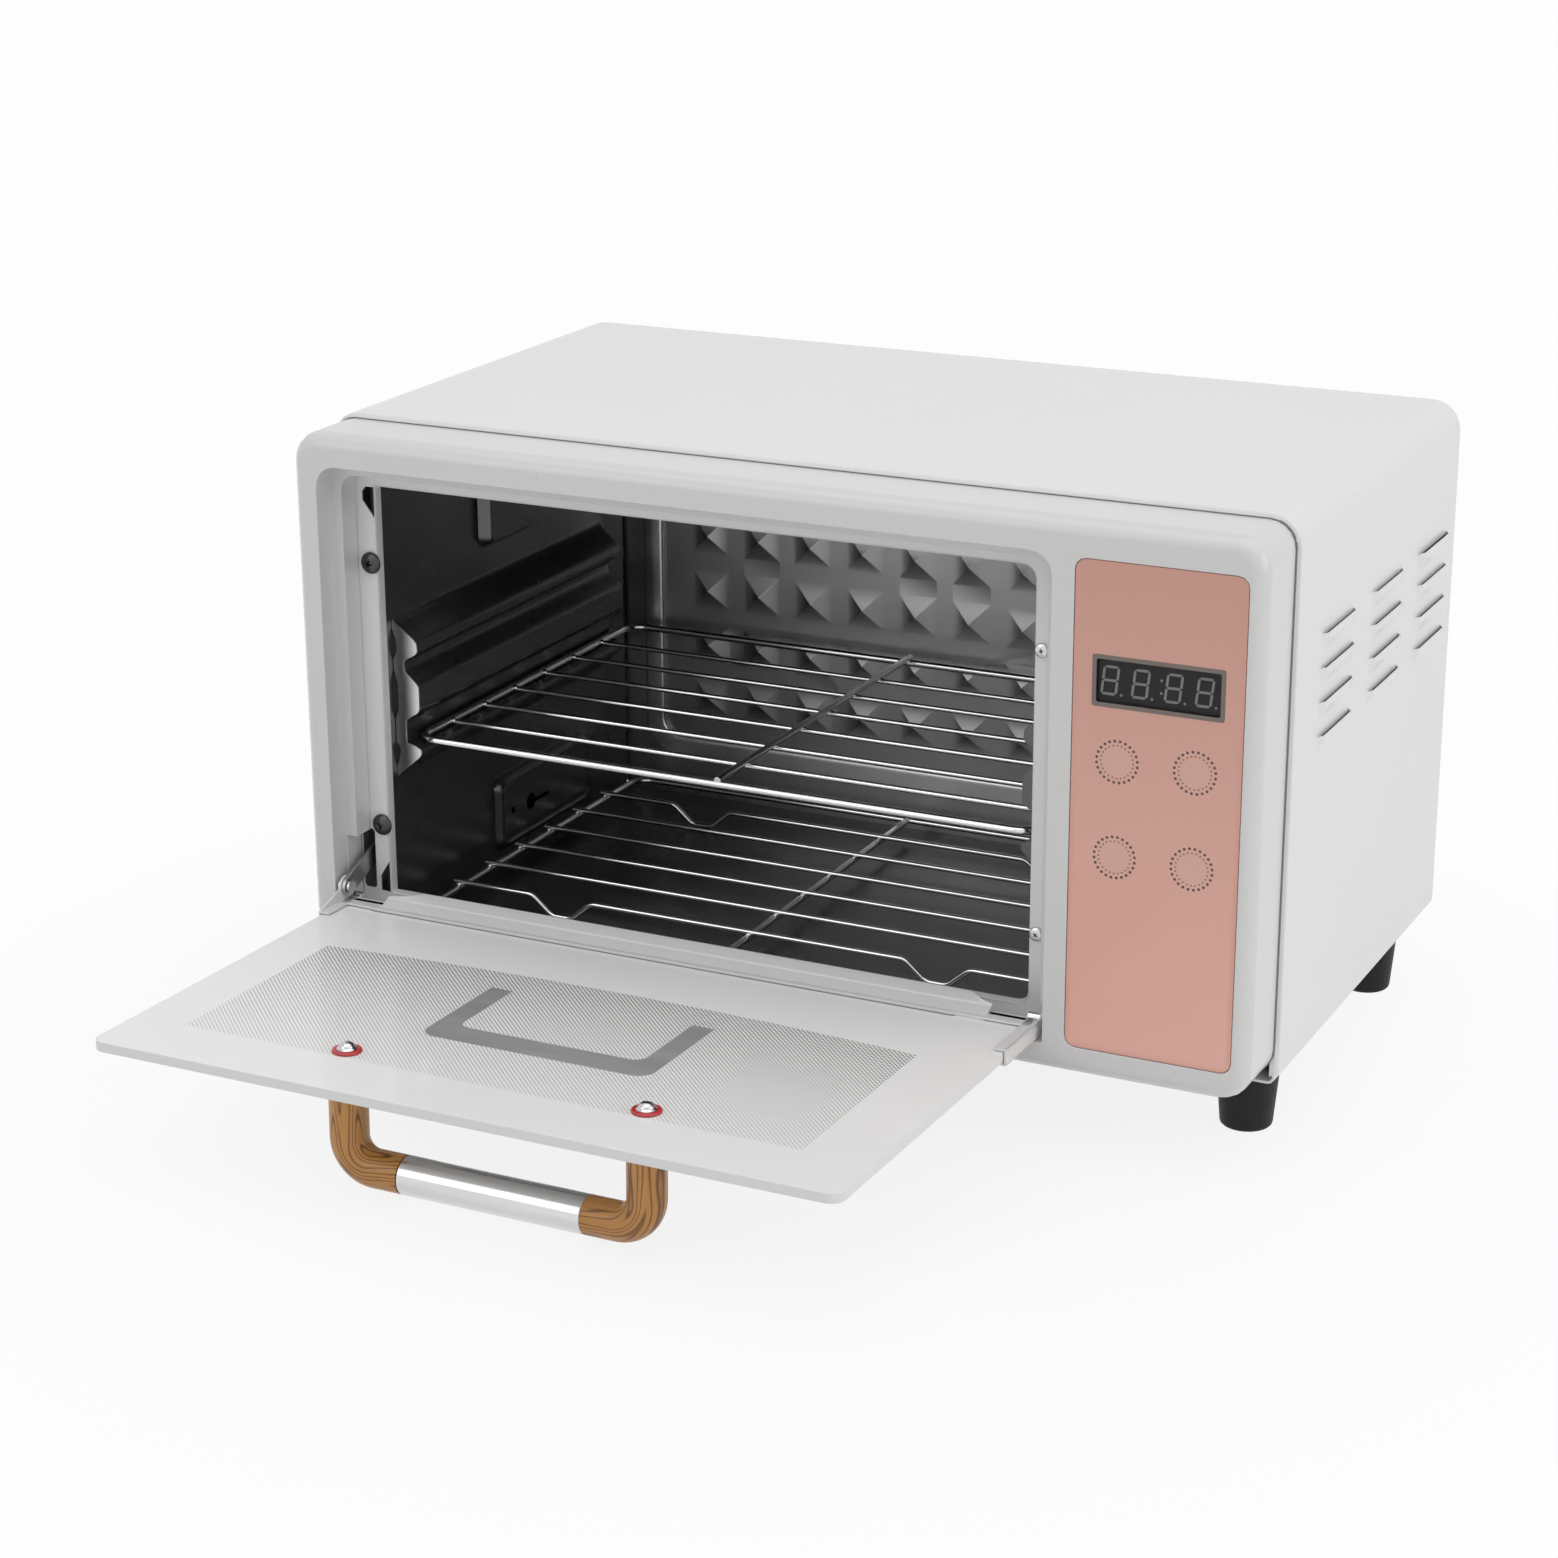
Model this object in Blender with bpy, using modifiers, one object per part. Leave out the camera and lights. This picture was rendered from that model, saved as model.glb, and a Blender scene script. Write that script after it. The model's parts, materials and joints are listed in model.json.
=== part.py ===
"""UV sterilizer cabinet: a white steel case with a drop-down glass door, two wire racks and a touch panel.

Metres, +Z up. The cabinet's front faces -Y and its feet stand on Z = 0. The door is modelled closed in the
frame of its hinge empty, and that empty's rotation opens it.
"""
import math

import bmesh
import bpy
from mathutils import Matrix, Vector

# General
CLEARANCE = 0.0003
OVERRUN = 0.002
WELD_DISTANCE = 0.000003
FINE_SIDES = 28
MEDIUM_SIDES = 20
COARSE_SIDES = 12
SCREW_SIDES = 16
DOME_SHARES = ((0, 1), (0.6, 0.8), (1, 0))
HIGH_DOME_SHARES = ((0, 1), (0.5, 0.87), (0.85, 0.5), (1, 0))

# Case
CABINET_WIDTH = 0.360
CABINET_HEIGHT = 0.1912
CABINET_DEPTH = 0.2125
CORNER_RADIUS = 0.0105
CASE_SHEET = 0.0008
SHELL_RISE = 0.0008
PAN_DROP = 0.0018
PAN_FLANGE = 0.012
PAN_BEND = 0.002
REAR_RECESS = 0.0006

# Front bezel
BEZEL_DEPTH = 0.0287
BEZEL_DRAFT = 0.0015
BEZEL_EDGE = 0.005
BEZEL_WALL = 0.0026
BEZEL_FACE_WALL = 0.004
RIM_LENGTH = 0.006
RIM_RISE = 0.014

# Door opening in the bezel, and the sheet steel frame behind it
LEFT_MARGIN = 0.0113
CONTROL_SIDE = 0.0723
TOP_MARGIN = 0.0127
OPENING_HALF_WIDTH = (CABINET_WIDTH - LEFT_MARGIN - CONTROL_SIDE) / 2
OPENING_CENTRE = LEFT_MARGIN + OPENING_HALF_WIDTH - CABINET_WIDTH / 2
OPENING_TOP = CABINET_HEIGHT - TOP_MARGIN
SILL_RISE = 0.011
OPENING_WALL = 0.0022
OPENING_CORNER = 0.008
LEDGE_WIDTH = 0.0045
LEDGE_BACK = 0.009
FRAME_BACK = 0.0183
FRAME_SHEET = 0.0008
MOUTH_SIDE_MARGIN = 0.01185
MOUTH_TOP_MARGIN = 0.0095
MOUTH_HALF_WIDTH = OPENING_HALF_WIDTH - MOUTH_SIDE_MARGIN
MOUTH_SILL = 0.0148
MOUTH_TOP = OPENING_TOP - MOUTH_TOP_MARGIN
MOUTH_CORNER = 0.0055
RELIEF_WIDTH = 0.005
RELIEF_HEIGHT = 0.009
RELIEF_RIM = 0.0009
SLOT_RISE = 0.016
SLOT_HEIGHT = 0.023
SLOT_WIDTH = 0.0057

# Cavity
CAVITY_SIDE_STEP = 0.00185
CAVITY_TOP_STEP = 0.0023
CAVITY_BACK_GAP = 0.0075
CAVITY_HALF_WIDTH = MOUTH_HALF_WIDTH + CAVITY_SIDE_STEP
CAVITY_FLOOR = -0.0005
CAVITY_CEILING = MOUTH_TOP + CAVITY_TOP_STEP
CAVITY_BACK = CABINET_DEPTH - CAVITY_BACK_GAP
CAVITY_SHEET = 0.0006
RIB_FRONT = 0.030
RIB_BACK_GAP = 0.018
RIB_BACK = CAVITY_BACK - RIB_BACK_GAP
RIB_REACH = 0.0106
RIB_RISE = 0.057
RIB_HEIGHT = 0.059
RIB_SHARES = ((0, 1), (0.943, 0.881), (0.972, 0.805), (0.415, 0.754), (0.415, 0.686), (0.972, 0.602),
              (0.972, 0.432), (0.415, 0.373), (0.415, 0.248), (0.566, 0.21), (0.972, 0.207),
              (1, 0.153), (0, 0))
BOSS_FRONT = 0.086
BOSS_LENGTH = 0.044
BOSS_HEIGHT = 0.034
BOSS_TOP_GAP = 0.0083
BOSS_RISE = CAVITY_CEILING - BOSS_TOP_GAP - BOSS_HEIGHT
BOSS_REACH = 0.004
PYRAMID_PITCH = 0.0227
PYRAMID_SIZE = 0.0174
PYRAMID_HEIGHT = 0.0034
PYRAMID_RISE = 0.0426
PYRAMID_SHIFT = 0.0019
PYRAMID_MARGIN = 0.025
PYRAMID_COLUMNS = int((CAVITY_HALF_WIDTH - PYRAMID_MARGIN) * 2 / PYRAMID_PITCH)
PYRAMID_ROWS = int((CAVITY_CEILING - PYRAMID_RISE) / PYRAMID_PITCH) + 1

# Louvres in the case sides
LOUVRE_LENGTH = 0.036
LOUVRE_GAP = 0.0014
LOUVRE_PITCH_Z = 0.0117
LOUVRE_FRONT = 0.055
LOUVRE_REAR_GAP = 0.0105
LOUVRE_TOP_GAP = 0.0466
LOUVRE_COLUMNS = 3
LOUVRE_ROWS = 4
LOUVRE_SPAN = CABINET_DEPTH - LOUVRE_FRONT - LOUVRE_REAR_GAP - LOUVRE_LENGTH
LOUVRE_PITCH_Y = LOUVRE_SPAN / (LOUVRE_COLUMNS - 1)
LOUVRE_RISE = CABINET_HEIGHT - LOUVRE_TOP_GAP - (LOUVRE_ROWS - 1) * LOUVRE_PITCH_Z

# Control panel
PANEL_MARGIN = 0.0071
PANEL_WIDTH = 0.0572
PANEL_CENTRE = CABINET_WIDTH / 2 - PANEL_MARGIN - PANEL_WIDTH / 2
PANEL_RISE = 0.0117
PANEL_TOP_MARGIN = 0.0135
PANEL_HEIGHT = CABINET_HEIGHT - PANEL_TOP_MARGIN - PANEL_RISE
PANEL_CORNER = 0.0035
PANEL_SHEET = 0.0012
PANEL_RECESS = 0.0004
DISPLAY_WIDTH = 0.0436
DISPLAY_HEIGHT = 0.0163
DISPLAY_TOP_GAP = 0.031
DISPLAY_RISE = PANEL_RISE + PANEL_HEIGHT - DISPLAY_TOP_GAP - DISPLAY_HEIGHT
DISPLAY_EDGE = 0.0014
BUTTON_PITCH_X = 0.0262
BUTTON_PITCH_Z = 0.0323
BUTTON_DROP = 0.0506
BUTTON_RISE = DISPLAY_RISE - BUTTON_DROP
SPRING_RADIUS = 0.0045
BOARD_BACK = 0.012
BOARD_SHEET = 0.0016
BOARD_MARGIN = 0.003
POST_RADIUS = 0.003

# Hinge and door
HINGE_BACK = 0.0074
HINGE_RISE = 0.01595
OPEN_ANGLE = 88.6
DOOR_SIDE_GAP = 0.0032
DOOR_TOP_GAP = 0.00435
DOOR_HALF_WIDTH = OPENING_HALF_WIDTH - DOOR_SIDE_GAP
DOOR_TOP = OPENING_TOP - HINGE_RISE - DOOR_TOP_GAP
DOOR_BOTTOM = 0.003
DOOR_GLASS = 0.0035
DOOR_CORNER = 0.005
RAIL_SHEET = 0.0008
STRIP_SIDE_GAP = 0.0165
STRIP_HALF_WIDTH = DOOR_HALF_WIDTH - STRIP_SIDE_GAP
STRIP_LIP = 0.0097
STRIP_FOLD = 0.0032
STRIP_EDGE = -0.0018
STRIP_LIP_REACH = 0.00075
STRIP_FOLD_REACH = 0.0031
STRIP_EDGE_REACH = 0.005
CLIP_WIDTH = 0.0045
CLIP_LENGTH_RIGHT = 0.033
CLIP_LENGTH_LEFT = 0.022
KNUCKLE_RADIUS = 0.0032
PIN_RADIUS = 0.0023
PIN_REACH = 0.005
PIN_TAIL = 0.0045

# Link arm
RIVET_UP = 0.0045
RIVET_IN = 0.00555
RIVET_RADIUS = 0.0013
RIVET_HEAD = 0.0026
RIVET_HEAD_HEIGHT = 0.0008
EAR_RADIUS = 0.004
ARM_WIDTH = 0.007
ARM_SHEET = 0.001
ARM_LENGTH = 0.044
ARM_SLOPE = 21.7
ARM_GAP = 0.0004

# Handle
HANDLE_FROM_TOP = 0.0299
HANDLE_HALF_SPACING = 0.055
HANDLE_RADIUS = 0.00655
HANDLE_STANDOFF = 0.0357
HANDLE_BEND = 0.018
SLEEVE_LENGTH = 0.0675
SLEEVE_WALL = 0.0015
SPIGOT_LENGTH = 0.010
HANDLE_SCREW_RADIUS = 0.002
HANDLE_SCREW_LENGTH = 0.018
HANDLE_SCREW_HEAD = 0.0034
HANDLE_SCREW_DOME = 0.0024
WASHER_RADIUS = 0.005
WASHER_SHEET = 0.0009

# Racks
RACK_PITCH = 0.0227
UPPER_SIDE_GAP = 0.0068
UPPER_HALF_WIDTH = CAVITY_HALF_WIDTH - UPPER_SIDE_GAP
RACK_FRONT = 0.033
RACK_BACK_GAP = 0.0085
RACK_DEPTH = CAVITY_BACK - RACK_BACK_GAP - RACK_FRONT
RACK_WIRES = round(RACK_DEPTH / RACK_PITCH) - 1
UPPER_RISE = 0.0714
LOWER_SIDE_GAP = 0.0087
LOWER_HALF_WIDTH = CAVITY_HALF_WIDTH - LOWER_SIDE_GAP
LOWER_RISE = 0.008
RACK_CORNER = 0.008
FRAME_WIRE = 0.0015
LOWER_FRAME_WIRE = 0.00125
WIRE_END = 0.0008
BAR_SHIFT = 0.002
INNER_WIRE = 0.001
CENTRE_BAR = 0.0013
WELD = 0.0004
DIP_SIDE_GAP = 0.0435
DIP_PLACE = LOWER_HALF_WIDTH - DIP_SIDE_GAP
DIP_TOP = 0.0125
DIP_BOTTOM = 0.004

# Lamp and heater
LAMP_RADIUS = 0.00775
LAMP_SIDE_GAP = 0.0222
LAMP_LENGTH = (CAVITY_HALF_WIDTH - LAMP_SIDE_GAP) * 2
LAMP_BACK = 0.108
LAMP_DROP = 0.0165
HOLDER_LENGTH = 0.012
HOLDER_WIDTH = 0.018
HOLDER_HEIGHT = 0.026
REFLECTOR_WIDTH = 0.040
REFLECTOR_LIP = 0.008
REFLECTOR_INSET = 0.002
HEATER_SIDE_GAP = 0.0582
HEATER_WIDTH = (CAVITY_HALF_WIDTH - HEATER_SIDE_GAP) * 2
HEATER_HEIGHT = 0.090
HEATER_SHEET = 0.0025
HEATER_RISE = 0.025

# Electrical bay
POWER_BOARD_WIDTH = 0.046
POWER_BOARD_LENGTH = 0.110
POWER_BOARD_BACK_GAP = 0.0325
POWER_BOARD_FRONT = CABINET_DEPTH - POWER_BOARD_BACK_GAP - POWER_BOARD_LENGTH
POWER_BOARD_SIDE_GAP = 0.0057
POWER_BOARD_LEFT = OPENING_CENTRE + CAVITY_HALF_WIDTH + CAVITY_SHEET + POWER_BOARD_SIDE_GAP
STANDOFF_HEIGHT = 0.007
STANDOFF_RADIUS = 0.003
BALLAST_WIDTH = 0.028
BALLAST_LENGTH = 0.080
BALLAST_HEIGHT = 0.024
THERMOSTAT_RADIUS = 0.008
THERMOSTAT_DEPTH = 0.006
THERMOSTAT_BACK_GAP = 0.047
THERMOSTAT_BACK = CAVITY_BACK - THERMOSTAT_BACK_GAP
THERMOSTAT_DROP = 0.0313
THERMOSTAT_RISE = CAVITY_CEILING - THERMOSTAT_DROP
SWITCH_WIDTH = 0.0064
SWITCH_LENGTH = 0.020
SWITCH_HEIGHT = 0.010
SWITCH_GAP = 0.001
INLET_SIDE_GAP = 0.042
INLET_X = CABINET_WIDTH / 2 - INLET_SIDE_GAP
INLET_RISE = 0.028
INLET_WIDTH = 0.026
INLET_HEIGHT = 0.016
INLET_LENGTH = 0.018
INLET_FLANGE = 0.004
INLET_FLANGE_SHEET = 0.0015
SOCKET_WIDTH = 0.020
SOCKET_HEIGHT = 0.009
SOCKET_DEPTH = 0.010
SOCKET_PIN_RADIUS = 0.0012
SOCKET_PIN_PLACE = 0.0043

# Feet and screws
FOOT_HEIGHT = 0.0265
FOOT_SIDE_GAP = 0.018
FOOT_X = CABINET_WIDTH / 2 - FOOT_SIDE_GAP
FOOT_FRONT = 0.0535
FOOT_BACK_GAP = 0.0215
FOOT_BACK = CABINET_DEPTH - FOOT_BACK_GAP
FOOT_TOP_RADIUS = 0.0113
FOOT_BOTTOM_RADIUS = 0.0091
FOOT_ROUNDING = 0.0015
FOOT_RECESS_RADIUS = 0.0045
FOOT_RECESS = 0.008
FOOT_SCREW_RADIUS = 0.0018
FOOT_SCREW_HEAD = 0.0036
FOOT_SCREW_HEAD_HEIGHT = 0.0022
FOOT_SCREW_TIP = 0.004
FRAME_SCREW_HEAD = 0.004
FRAME_SCREW_DOME = 0.002
FRAME_SCREW_RADIUS = 0.0016
FRAME_SCREW_LENGTH = 0.006
FRAME_SCREW_INSET = 0.002
FRAME_SCREW_LOW = 0.0415
FRAME_SCREW_TOP_GAP = 0.0288
FRAME_SCREW_RISES = (FRAME_SCREW_LOW, MOUTH_TOP - FRAME_SCREW_TOP_GAP)
REAR_SCREW_HEAD = 0.0032
REAR_SCREW_DOME = 0.0018
REAR_SCREW_RADIUS = 0.0014
REAR_SCREW_LENGTH = 0.006
REAR_SCREW_INSET = 0.014
VENT_LENGTH = 0.040
VENT_GAP = 0.003
VENT_PITCH_Z = 0.009
VENT_PITCH_X = 0.052
VENT_COLUMNS = 3
VENT_ROWS = 5
VENT_TOP_GAP = 0.0352
VENT_RISE = CABINET_HEIGHT - VENT_TOP_GAP - (VENT_ROWS - 1) * VENT_PITCH_Z

# Driven places
BASE_RISE = FOOT_HEIGHT + CLEARANCE + PAN_DROP + CASE_SHEET / 2
OPEN_TURN = math.radians(OPEN_ANGLE)
DOOR_REACH = DOOR_TOP * math.sin(OPEN_TURN) + DOOR_GLASS * math.cos(OPEN_TURN)
REAR_REACH = CABINET_DEPTH + INLET_FLANGE_SHEET - REAR_RECESS + CLEARANCE
FRONT_Y = (DOOR_REACH - HINGE_BACK - REAR_REACH) / 2
PAN_TOP = -PAN_DROP + CASE_SHEET / 2
PAN_BOTTOM = -PAN_DROP - CASE_SHEET / 2
CAVITY_SIDE = CAVITY_HALF_WIDTH + CAVITY_SHEET
COVER_BACK = CABINET_DEPTH - REAR_RECESS
COVER_FRONT = COVER_BACK - CASE_SHEET
LEDGE_HALF_WIDTH = OPENING_HALF_WIDTH - LEDGE_WIDTH
LEDGE_TOP = OPENING_TOP - LEDGE_WIDTH
BACK_OF_CUT = CABINET_DEPTH

parts = None
cutters = None


def clear_scene():
    for obj in list(bpy.data.objects):
        bpy.data.objects.remove(obj, do_unlink=True)


def collection(name):
    group = bpy.data.collections.new(name)
    bpy.context.scene.collection.children.link(group)
    return group


def material(name, colour, roughness, metallic=0.0, alpha=1.0):
    mat = bpy.data.materials.new(name)
    mat.use_nodes = True
    shader = mat.node_tree.nodes["Principled BSDF"]
    shader.inputs["Base Color"].default_value = (*colour, 1.0)
    shader.inputs["Roughness"].default_value = roughness
    shader.inputs["Metallic"].default_value = metallic
    shader.inputs["Alpha"].default_value = alpha
    mat.diffuse_color = (*colour, alpha)
    return mat


def frame(name, parent, location, turn=0.0):
    """An empty that carries the pieces of one moving or fixed group."""
    empty = bpy.data.objects.new(name, None)
    empty.location = location
    empty.rotation_euler.x = turn
    empty.parent = parent
    parts.objects.link(empty)
    return empty


def place(name, mesh, parent, location, mat=None):
    obj = bpy.data.objects.new(name, mesh)
    obj.location = location
    obj.parent = parent
    parts.objects.link(obj)
    if mat:
        mesh.materials.append(mat)
    return obj


def smooth(obj, degrees=35):
    obj.data.shade_smooth()
    obj.data.set_sharp_from_angle(angle=math.radians(degrees))
    return obj


def box(name, low, high, parent, mat=None):
    """A box between two corners, its origin at its centre."""
    low = Vector(low)
    high = Vector(high)
    bm = bmesh.new()
    bmesh.ops.create_cube(bm, size=1)
    bmesh.ops.scale(bm, vec=high - low, verts=bm.verts)
    mesh = bpy.data.meshes.new(name)
    bm.to_mesh(mesh)
    bm.free()
    return place(name, mesh, parent, (low + high) / 2, mat)


def round_edges(obj, axis, radius, segments=4, side=None):
    """Rounds the edges that run along an axis, only those on one side of the origin if a side is given."""
    bm = bmesh.new()
    bm.from_mesh(obj.data)
    chosen = []
    for edge in bm.edges:
        span = edge.verts[1].co - edge.verts[0].co
        middle = (edge.verts[1].co + edge.verts[0].co) / 2
        along = abs(span[axis]) > 0.9 * span.length
        if along and (side is None or middle.dot(side) > 0):
            chosen.append(edge)
    bmesh.ops.bevel(bm, geom=chosen, offset=radius, segments=segments, profile=0.5, affect="EDGES")
    bm.to_mesh(obj.data)
    bm.free()
    return obj


def round_face_rim(obj, axis, level_sign, radius, segments=3):
    """Rounds the rim of the face at one end of an axis."""
    bm = bmesh.new()
    bm.from_mesh(obj.data)
    end = max(level_sign * vert.co[axis] for vert in bm.verts)
    on_face = {vert for vert in bm.verts if level_sign * vert.co[axis] > end - WELD_DISTANCE}
    chosen = [edge for edge in bm.edges if on_face.issuperset(edge.verts)]
    bmesh.ops.bevel(bm, geom=chosen, offset=radius, segments=segments, profile=0.5, affect="EDGES")
    bm.to_mesh(obj.data)
    bm.free()
    return obj


def cylinder(name, radius, start, end, parent, mat=None, sides=24):
    """A cylinder between two points that differ along one axis."""
    start = Vector(start)
    end = Vector(end)
    bm = bmesh.new()
    bmesh.ops.create_cone(bm, cap_ends=True, segments=sides, radius1=radius, radius2=radius,
                          depth=(end - start).length)
    turn = Vector((0, 0, 1)).rotation_difference(end - start)
    bmesh.ops.rotate(bm, cent=(0, 0, 0), matrix=turn.to_matrix(), verts=bm.verts)
    mesh = bpy.data.meshes.new(name)
    bm.to_mesh(mesh)
    bm.free()
    return smooth(place(name, mesh, parent, (start + end) / 2, mat))


def as_cutter(obj):
    parts.objects.unlink(obj)
    cutters.objects.link(obj)
    obj.hide_render = True
    obj.display_type = "WIRE"
    return obj


def boolean(obj, tool, operation):
    as_cutter(tool)
    modifier = obj.modifiers.new(operation.lower(), "BOOLEAN")
    modifier.operation = operation
    modifier.solver = "EXACT"
    modifier.object = tool
    return obj


def cut(obj, tool):
    return boolean(obj, tool, "DIFFERENCE")


def fuse(obj, tool):
    return boolean(obj, tool, "UNION")


def ribbon(name, points, start, length, sheet, parent, mat=None):
    """Sheet metal: a profile in X and Z swept along +Y from start, the sheet centred on it."""
    bm = bmesh.new()
    verts = [bm.verts.new((x, 0, z)) for x, z in points]
    edges = [bm.edges.new(pair) for pair in zip(verts, verts[1:])]
    swept = bmesh.ops.extrude_edge_only(bm, edges=edges)
    moved = [item for item in swept["geom"] if isinstance(item, bmesh.types.BMVert)]
    bmesh.ops.translate(bm, vec=(0, length, 0), verts=moved)
    mesh = bpy.data.meshes.new(name)
    bm.to_mesh(mesh)
    bm.free()
    obj = place(name, mesh, parent, (0, start, 0), mat)
    solidify = obj.modifiers.new("sheet", "SOLIDIFY")
    solidify.thickness = sheet
    solidify.offset = 0
    solidify.use_even_offset = True
    return obj


def outline(name, points, thickness, parent, location, turn, mat=None):
    """A flat plate: a closed outline in its own XY plane, filled and extruded to both sides."""
    curve = bpy.data.curves.new(name, "CURVE")
    curve.dimensions = "2D"
    curve.fill_mode = "BOTH"
    curve.extrude = thickness / 2
    spline = curve.splines.new("POLY")
    spline.points.add(len(points) - 1)
    for point, (x, y) in zip(spline.points, points):
        point.co = (x, y, 0, 1)
    spline.use_cyclic_u = True
    obj = to_mesh(name, curve, parent, mat)
    obj.location = location
    obj.rotation_euler = turn
    return obj


def to_mesh(name, curve, parent, mat=None):
    """Turns a curve into a welded mesh object under the same name."""
    guide = bpy.data.objects.new(name + "_guide", curve)
    parts.objects.link(guide)
    bpy.context.view_layer.update()
    shape = guide.evaluated_get(bpy.context.evaluated_depsgraph_get())
    mesh = bpy.data.meshes.new_from_object(shape)
    bpy.data.objects.remove(guide, do_unlink=True)
    bm = bmesh.new()
    bm.from_mesh(mesh)
    bmesh.ops.remove_doubles(bm, verts=bm.verts, dist=WELD_DISTANCE)
    bmesh.ops.recalc_face_normals(bm, faces=bm.faces)
    bm.to_mesh(mesh)
    bm.free()
    return place(name, mesh, parent, (0, 0, 0), mat)


def wire(name, points, radius, parent, mat=None, closed=False, resolution=1):
    """A round wire along points, its ends capped unless it closes on itself."""
    curve = bpy.data.curves.new(name, "CURVE")
    curve.dimensions = "3D"
    curve.bevel_depth = radius
    curve.bevel_resolution = resolution
    curve.use_fill_caps = not closed
    spline = curve.splines.new("POLY")
    spline.points.add(len(points) - 1)
    for point, co in zip(spline.points, points):
        point.co = (*co, 1)
    spline.use_cyclic_u = closed
    return smooth(to_mesh(name, curve, parent, mat))


def turned(name, profile, parent, location, mat=None, sides=24, face=None):
    """A turned solid: radius and height pairs from the top of the axis, down the outside, to its foot."""
    bm = bmesh.new()
    verts = [bm.verts.new((radius, 0, height)) for radius, height in profile]
    for pair in zip(verts, verts[1:]):
        bm.edges.new(pair)
    mesh = bpy.data.meshes.new(name)
    bm.to_mesh(mesh)
    bm.free()
    obj = place(name, mesh, parent, location, mat)
    screw = obj.modifiers.new("turn", "SCREW")
    screw.steps = sides
    screw.render_steps = sides
    screw.use_merge_vertices = True
    screw.merge_threshold = WELD_DISTANCE
    screw.use_smooth_shade = True
    if face:
        obj.rotation_euler = Vector((0, 0, 1)).rotation_difference(Vector(face)).to_euler()
    return obj


def arc(centre, radius, start, end, steps=5):
    """Points along an arc in a plane, angles in degrees."""
    points = []
    for step in range(steps + 1):
        angle = math.radians(start + (end - start) * step / steps)
        points.append((centre[0] + radius * math.cos(angle), centre[1] + radius * math.sin(angle)))
    return points


def rounded_rectangle(left, bottom, right, top, radius, steps=4):
    corners = ((right, top, -1, -1), (left, top, 1, -1), (left, bottom, 1, 1), (right, bottom, -1, 1))
    points = []
    for start, (x, y, sign_x, sign_y) in zip((0, 90, 180, 270), corners):
        points += arc((x + sign_x * radius, y + sign_y * radius), radius, start, start + 90, steps)
    return points


def case_profile(half_width, foot, top, radius):
    """An inverted U: up one side, over the top and down the other."""
    left = [(-half_width, foot)] + arc((-half_width + radius, top - radius), radius, 180, 90)
    right = arc((half_width - radius, top - radius), radius, 90, 0) + [(half_width, foot)]
    return left + right


# Case pieces

def outer_shell(cabinet, mat):
    half = CASE_SHEET / 2
    side = CABINET_WIDTH / 2 - half
    profile = case_profile(side, SHELL_RISE, CABINET_HEIGHT - half, CORNER_RADIUS - half)
    length = CABINET_DEPTH - BEZEL_DEPTH
    shell = ribbon("outer_shell", profile, BEZEL_DEPTH, length, CASE_SHEET, cabinet, mat)
    for side in (-1, 1):
        for column in range(LOUVRE_COLUMNS):
            for row in range(LOUVRE_ROWS):
                front = LOUVRE_FRONT + column * LOUVRE_PITCH_Y
                rise = LOUVRE_RISE + row * LOUVRE_PITCH_Z
                middle = side * CABINET_WIDTH / 2
                low = (middle - OVERRUN, front, rise - LOUVRE_GAP / 2)
                high = (middle + OVERRUN, front + LOUVRE_LENGTH, rise + LOUVRE_GAP / 2)
                cut(shell, box(f"louvre_cut_{side}_{column}_{row}", low, high, cabinet))
    return smooth(shell)


def base_pan(cabinet, mat):
    side = CABINET_WIDTH / 2 - CASE_SHEET * 3 / 2 - CLEARANCE
    left = [(-side, PAN_FLANGE)] + arc((-side + PAN_BEND, -PAN_DROP + PAN_BEND), PAN_BEND, 180, 270, 3)
    right = arc((side - PAN_BEND, -PAN_DROP + PAN_BEND), PAN_BEND, 270, 360, 3) + [(side, PAN_FLANGE)]
    front = BEZEL_DEPTH + CLEARANCE
    length = COVER_FRONT - CLEARANCE - front
    pan = ribbon("base_pan", left + right, front, length, CASE_SHEET, cabinet, mat)
    for number, (x, y) in enumerate(foot_places()):
        hole = cylinder(f"pan_hole_{number}", FOOT_SCREW_RADIUS + CLEARANCE, (x, y, PAN_BOTTOM - OVERRUN),
                        (x, y, PAN_TOP + OVERRUN), cabinet)
        cut(pan, hole)
    return pan


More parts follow.
